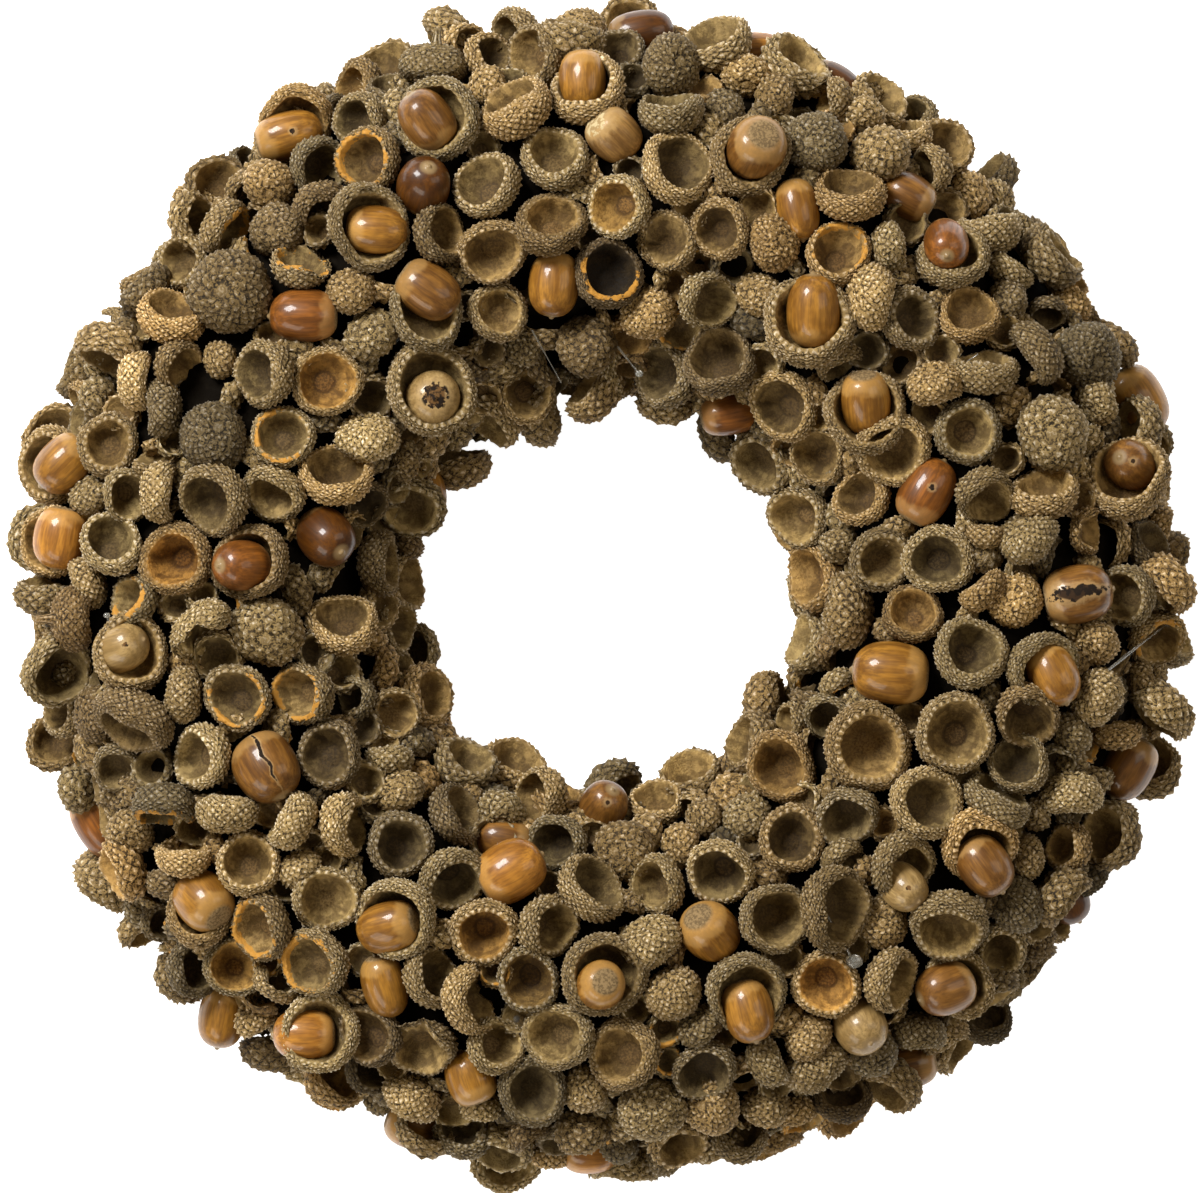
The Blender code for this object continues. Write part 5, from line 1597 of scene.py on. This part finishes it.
@dataclass
class GlueDrips:
    """What shows of the hot glue: strings pulled from cup to cup, and blobs in the gaps."""

    band: Band
    strands: tuple = (
        Strand((59, -84), (71, -104), 0.45, 2.6), Strand((143, -22), (163, -8), 0.40, 2.0),
        Strand((4, 69), (10, 62), 0.30, 1.2), Strand((-20, 74), (-12, 60), 0.22, 0.0),
        Strand((-136, -20), (-141, -6), 0.30, 1.0), Strand((94, 60), (106, 68), 0.22, 0.0),
    )
    lift: float = 0.0085
    sag: float = 0.0012
    steps: int = 10
    sides: int = 8
    blobs: int = 46
    blob_sizes: tuple = (0.0009, 0.0022)
    blob_leans: tuple = (-1.2, 1.3)
    blob_root: float = 0.0012
    lean_limit: float = 1.45
    seed: int = 5

    def above(self, right: float, up: float, lift: float) -> Vector:
        """The point over the band at a place seen from the front.

        Args:
            right: How far right of the wreath's middle (m).
            up: How far up the photo (m).
            lift: The height over the band (m).

        Returns:
            The place.
        """
        angles = np.linspace(-self.lean_limit, self.lean_limit, 300)
        lean = float(np.interp(math.hypot(right, up), self.band.section(angles, lift)[0], angles))
        foot, normal, _ = self.band.seat(math.atan2(up, right), lean)
        return foot + normal * lift

    def build(self, finish: bpy.types.Material) -> None:
        """Builds all the glue as one piece.

        Args:
            finish: The glue's material.
        """
        bm = bmesh.new()
        for strand in self.strands:
            self.draw_strand(bm, strand)
        draw = np.random.default_rng(self.seed)
        for _ in range(self.blobs):
            bearing, lean = draw.uniform(-math.pi, math.pi), draw.uniform(*self.blob_leans)
            size = draw.uniform(*self.blob_sizes)
            foot, normal, _ = self.band.seat(bearing, lean)
            self.draw_blob(bm, foot - normal * self.blob_root, normal, size)
        new_piece("glue_drips", made_mesh(bm), finish)

    def draw_blob(self, bm: bmesh.types.BMesh, place: Vector, up: Vector, size: float) -> None:
        """Adds a blob, half as high as it is wide.

        Args:
            bm: The mesh being edited.
            place: The blob's middle.
            up: Its way up.
            size: Its radius (m).
        """
        stand = Matrix.Translation(place) @ up.to_track_quat("Z", "Y").to_matrix().to_4x4()
        squash = Matrix.Diagonal((size, size * 0.8, size * 0.5, 1.0))
        bmesh.ops.create_icosphere(bm, subdivisions=2, radius=1.0, matrix=stand @ squash)

    def draw_strand(self, bm: bmesh.types.BMesh, strand: Strand) -> None:
        """Adds a string that sags between its ends and thins in its middle, with its blob.

        Args:
            bm: The glue's mesh so far.
            strand: The string.
        """
        ends = (strand.start, strand.end)
        first, last = (self.above(right / 1000, up / 1000, self.lift) for right, up in ends)
        path = last - first
        stand = Matrix.Translation(first) @ path.to_track_quat("Z", "Y").to_matrix().to_4x4()
        ring = bmesh.ops.create_circle(bm, segments=self.sides, radius=1.0, matrix=stand)["verts"]
        edges = list({edge for vert in ring for edge in vert.link_edges})
        centre = first
        bmesh.ops.scale(bm, vec=(strand.width / 1000,) * 3, verts=ring, space=Matrix.Translation(-first))
        for step in range(1, self.steps + 1):
            share = step / self.steps
            place = first + path * share - Vector((0, 0, self.sag * math.sin(math.pi * share)))
            grown = bmesh.ops.extrude_edge_only(bm, edges=edges)["geom"]
            ring = [item for item in grown if isinstance(item, bmesh.types.BMVert)]
            edges = [item for item in grown if isinstance(item, bmesh.types.BMEdge)]
            bmesh.ops.translate(bm, vec=place - centre, verts=ring)
            thin = 1.0 + 0.18 * math.cos(2 * math.pi * share)
            bmesh.ops.scale(bm, vec=(thin,) * 3, verts=ring, space=Matrix.Translation(-place))
            centre = place
        if strand.blob:
            self.draw_blob(bm, last, Vector((0, 0, 1)), strand.blob / 1000)


@dataclass
class WrappedCore:
    """What carries the cups: the former ring in its film, and the bed of glue over its front and sides."""

    band: Band
    steps: int = 132
    bed_drop: float = 0.0026
    bed_thickness: float = 0.0026
    former_drop: float = 0.0045
    back_inset: float = 0.006
    back_height: float = 0.0003
    windings: int = 44
    film_lap: float = 0.0005

    def build_bed(self, finish: bpy.types.Material) -> None:
        """Builds the bed: an open section turned full circle, with a thickness.

        Args:
            finish: The film's material.
        """
        leans = np.linspace(-self.band.bed_reach, self.band.bed_reach, 25)
        outer = list(zip(*self.band.section(leans, -self.bed_drop)[:2]))
        inner = list(zip(*self.band.section(leans[::-1], -self.bed_drop - self.bed_thickness)[:2]))
        profile = [(float(wide), float(high)) for wide, high in outer + inner]
        mesh = made_mesh(spun(profile, self.steps, closed=True))
        new_piece("glue_bed", mesh, finish)

    def build_former(self, finish: bpy.types.Material) -> None:
        """Builds the former: a closed section with a flat back, wound in lapped film.

        Args:
            finish: The film's material.
        """
        leans = np.linspace(-self.band.bed_reach, self.band.bed_reach, 29)
        radii, heights, _, _ = self.band.section(leans, -self.former_drop)
        crown = [(float(wide), float(high)) for wide, high in zip(radii, heights)]
        first, last = crown[0], crown[-1]
        back = np.linspace(last[0] - self.back_inset, first[0] + self.back_inset, 12)
        profile = crown + [(float(wide), self.back_height) for wide in back]
        mesh = made_mesh(spun(profile, self.steps * 2, closed=True))
        points, index = points_of(mesh)
        bearing = np.arctan2(points[:, 1], points[:, 0])
        lap = (bearing / (2 * math.pi) * self.windings + index / len(profile)) % 1.0
        inwards = np.array([[self.band.ring_radius, self.band.waist_height]]) - np.stack(
            [np.hypot(points[:, 0], points[:, 1]), points[:, 2]], axis=1)
        inwards /= np.linalg.norm(inwards, axis=1)[:, None]
        depth = self.film_lap * lap
        radius = np.hypot(points[:, 0], points[:, 1]) + depth * inwards[:, 0]
        points = np.stack([radius * np.cos(bearing), radius * np.sin(bearing),
                           np.maximum(points[:, 2] + depth * inwards[:, 1], 0.0)], axis=1)
        mesh.vertices.foreach_set("co", points.ravel())
        piece = new_piece("wound_former", mesh, finish)
        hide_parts("former")


class Lamp(NamedTuple):
    """One soft light: where it stands and its width and height (m), its power (W) and its tint."""

    name: str
    place: tuple[float, float, float]
    size: tuple[float, float]
    power: float
    tint: tuple[float, float, float]


@dataclass
class Studio:
    """The pale floor, the soft lights and the camera straight above."""

    frame_width: float = 0.3429
    frame_middle: tuple = (-0.0010, -0.0006)
    frame_height: float = 0.025
    distance: float = 2.5
    sensor: float = 36.0
    floor_size: float = 6.0
    world_tint: tuple = colour(1.0, 0.88, 0.66)
    world_strength: float = 0.20
    lamps: tuple = (
        Lamp("key", (-0.80, 0.95, 1.15), (0.6, 0.6), 43.5, (1.0, 1.0, 0.99)),
        Lamp("fill", (1.1, 0.35, 1.2), (0.8, 1.2), 6.0, (1.0, 0.93, 0.82)),
        Lamp("low", (-0.75, -1.1, 0.85), (1.2, 0.6), 11.0, (1.0, 0.95, 0.86)),
    )

    def build(self, grit: bpy.types.NodeTree) -> None:
        """Sets up the floor, the lights, the world and the camera.

        Args:
            grit: The group that gives fine grit.
        """
        scene = bpy.context.scene
        self.build_floor(grit)
        for lamp in self.lamps:
            self.light(lamp)
        world = bpy.data.worlds.new("studio")
        world.use_nodes = True
        background = world.node_tree.nodes["Background"]
        Recipe(world.node_tree).plug(background, {"Color": self.world_tint, "Strength": self.world_strength})
        scene.world = world
        scene.view_settings.view_transform = "Standard"
        camera = bpy.data.cameras.new("camera")
        camera.sensor_width = self.sensor
        camera.lens = self.sensor * (self.distance - self.frame_height) / self.frame_width
        camera.clip_end = 20.0
        holder = bpy.data.objects.new("camera", camera)
        holder.location = (*self.frame_middle, self.distance)
        scene.collection.objects.link(holder)
        scene.camera = holder

    def build_floor(self, grit: bpy.types.NodeTree) -> None:
        """Lays the floor.

        Args:
            grit: The group that gives fine grit.
        """
        bm = bmesh.new()
        bmesh.ops.create_grid(bm, x_segments=4, y_segments=4, size=self.floor_size / 2)
        mesh = made_mesh(bm, "floor")
        made, recipe, shader, where = started("floor")
        recipe.plug(shader, {
            "Base Color": colour(0.93, 0.93, 0.93),
            "Normal": recipe.bump(recipe.group(grit, Vector=where, Scale=300.0, Share=0.2), 0.05, 0.0002),
            "Roughness": 0.7,
            "Emission Color": colour(0.96, 0.98, 1.0),
            "Emission Strength": 0.9,
        })
        mesh.materials.append(made)
        floor = bpy.data.objects.new("floor", mesh)
        bpy.context.scene.collection.objects.link(floor)

    def light(self, lamp: Lamp) -> None:
        """Adds a soft light aimed at the wreath.

        Args:
            lamp: The lamp.
        """
        data = bpy.data.lights.new(lamp.name, "AREA")
        data.shape = "RECTANGLE"
        data.size, data.size_y = lamp.size
        data.energy = lamp.power
        data.color = lamp.tint
        holder = bpy.data.objects.new(lamp.name, data)
        holder.location = lamp.place
        holder.rotation_euler = Vector(lamp.place).to_track_quat("Z", "Y").to_euler()
        bpy.context.scene.collection.objects.link(holder)


SHELLS = (
    NutFinish(Tone.GOLDEN, colour(0.375, 0.172, 0.024), colour(0.125, 0.045, 0.005)),
    NutFinish(Tone.BROWN, colour(0.25, 0.110, 0.020), colour(0.075, 0.026, 0.004)),
    NutFinish(Tone.DARK, colour(0.110, 0.036, 0.003), colour(0.036, 0.010, 0.001)),
    NutFinish(Tone.RED, colour(0.28, 0.094, 0.013), colour(0.080, 0.024, 0.003)),
    NutFinish(Tone.TAN, colour(0.34, 0.155, 0.019), colour(0.15, 0.060, 0.007)),
    NutFinish(Tone.ORANGE, colour(0.46, 0.200, 0.028), colour(0.18, 0.062, 0.008)),
    NutFinish(
        Tone.CRUSTED, colour(0.32, 0.170, 0.045), colour(0.110, 0.048, 0.011),
        pit=colour(0.50, 0.40, 0.22), torn=colour(0.30, 0.20, 0.085), roughness=0.5, coat=0.1,
    ),
    NutFinish(
        Tone.PALE, colour(0.40, 0.265, 0.105), colour(0.19, 0.110, 0.032), torn=colour(0.13, 0.065, 0.020)
    ),
)


def main() -> None:
    """Builds the wreath and its studio, in order."""
    logging.basicConfig(level=logging.INFO, format="%(name)s %(message)s")
    mottle, grit = mottle_group(), grit_group()
    band = Band()
    nuts, cups = Layout(band).lay()
    LOG.info("laid out %d acorns and %d cups", len(nuts), len(cups))
    core = WrappedCore(band)
    core.build_former(FilmFinish("wound_film").material(mottle, grit))
    core.build_bed(FilmFinish("bedded_film", roughness=0.7, wrinkle=0.4, shine=0.03).material(mottle, grit))
    CupSectors(band, cups).build(CupFinish().material(mottle, grit))
    finishes = {shell.tone: shell.material(mottle, grit) for shell in SHELLS}
    acorns = Acorns(nuts)
    acorns.build(finishes)
    Slivers(band).build(Layout(band), acorns, finishes)
    GlueDrips(band).build(GlueFinish().material(grit))
    Studio().build(grit)
    pieces = [piece for piece in bpy.data.objects if piece.type == "MESH" and piece.data.users]
    faces = [face for piece in pieces for face in piece.data.polygons]
    LOG.info("%d triangles in all", sum(len(face.vertices) - 2 for face in faces))


if __name__ == "__main__":
    main()
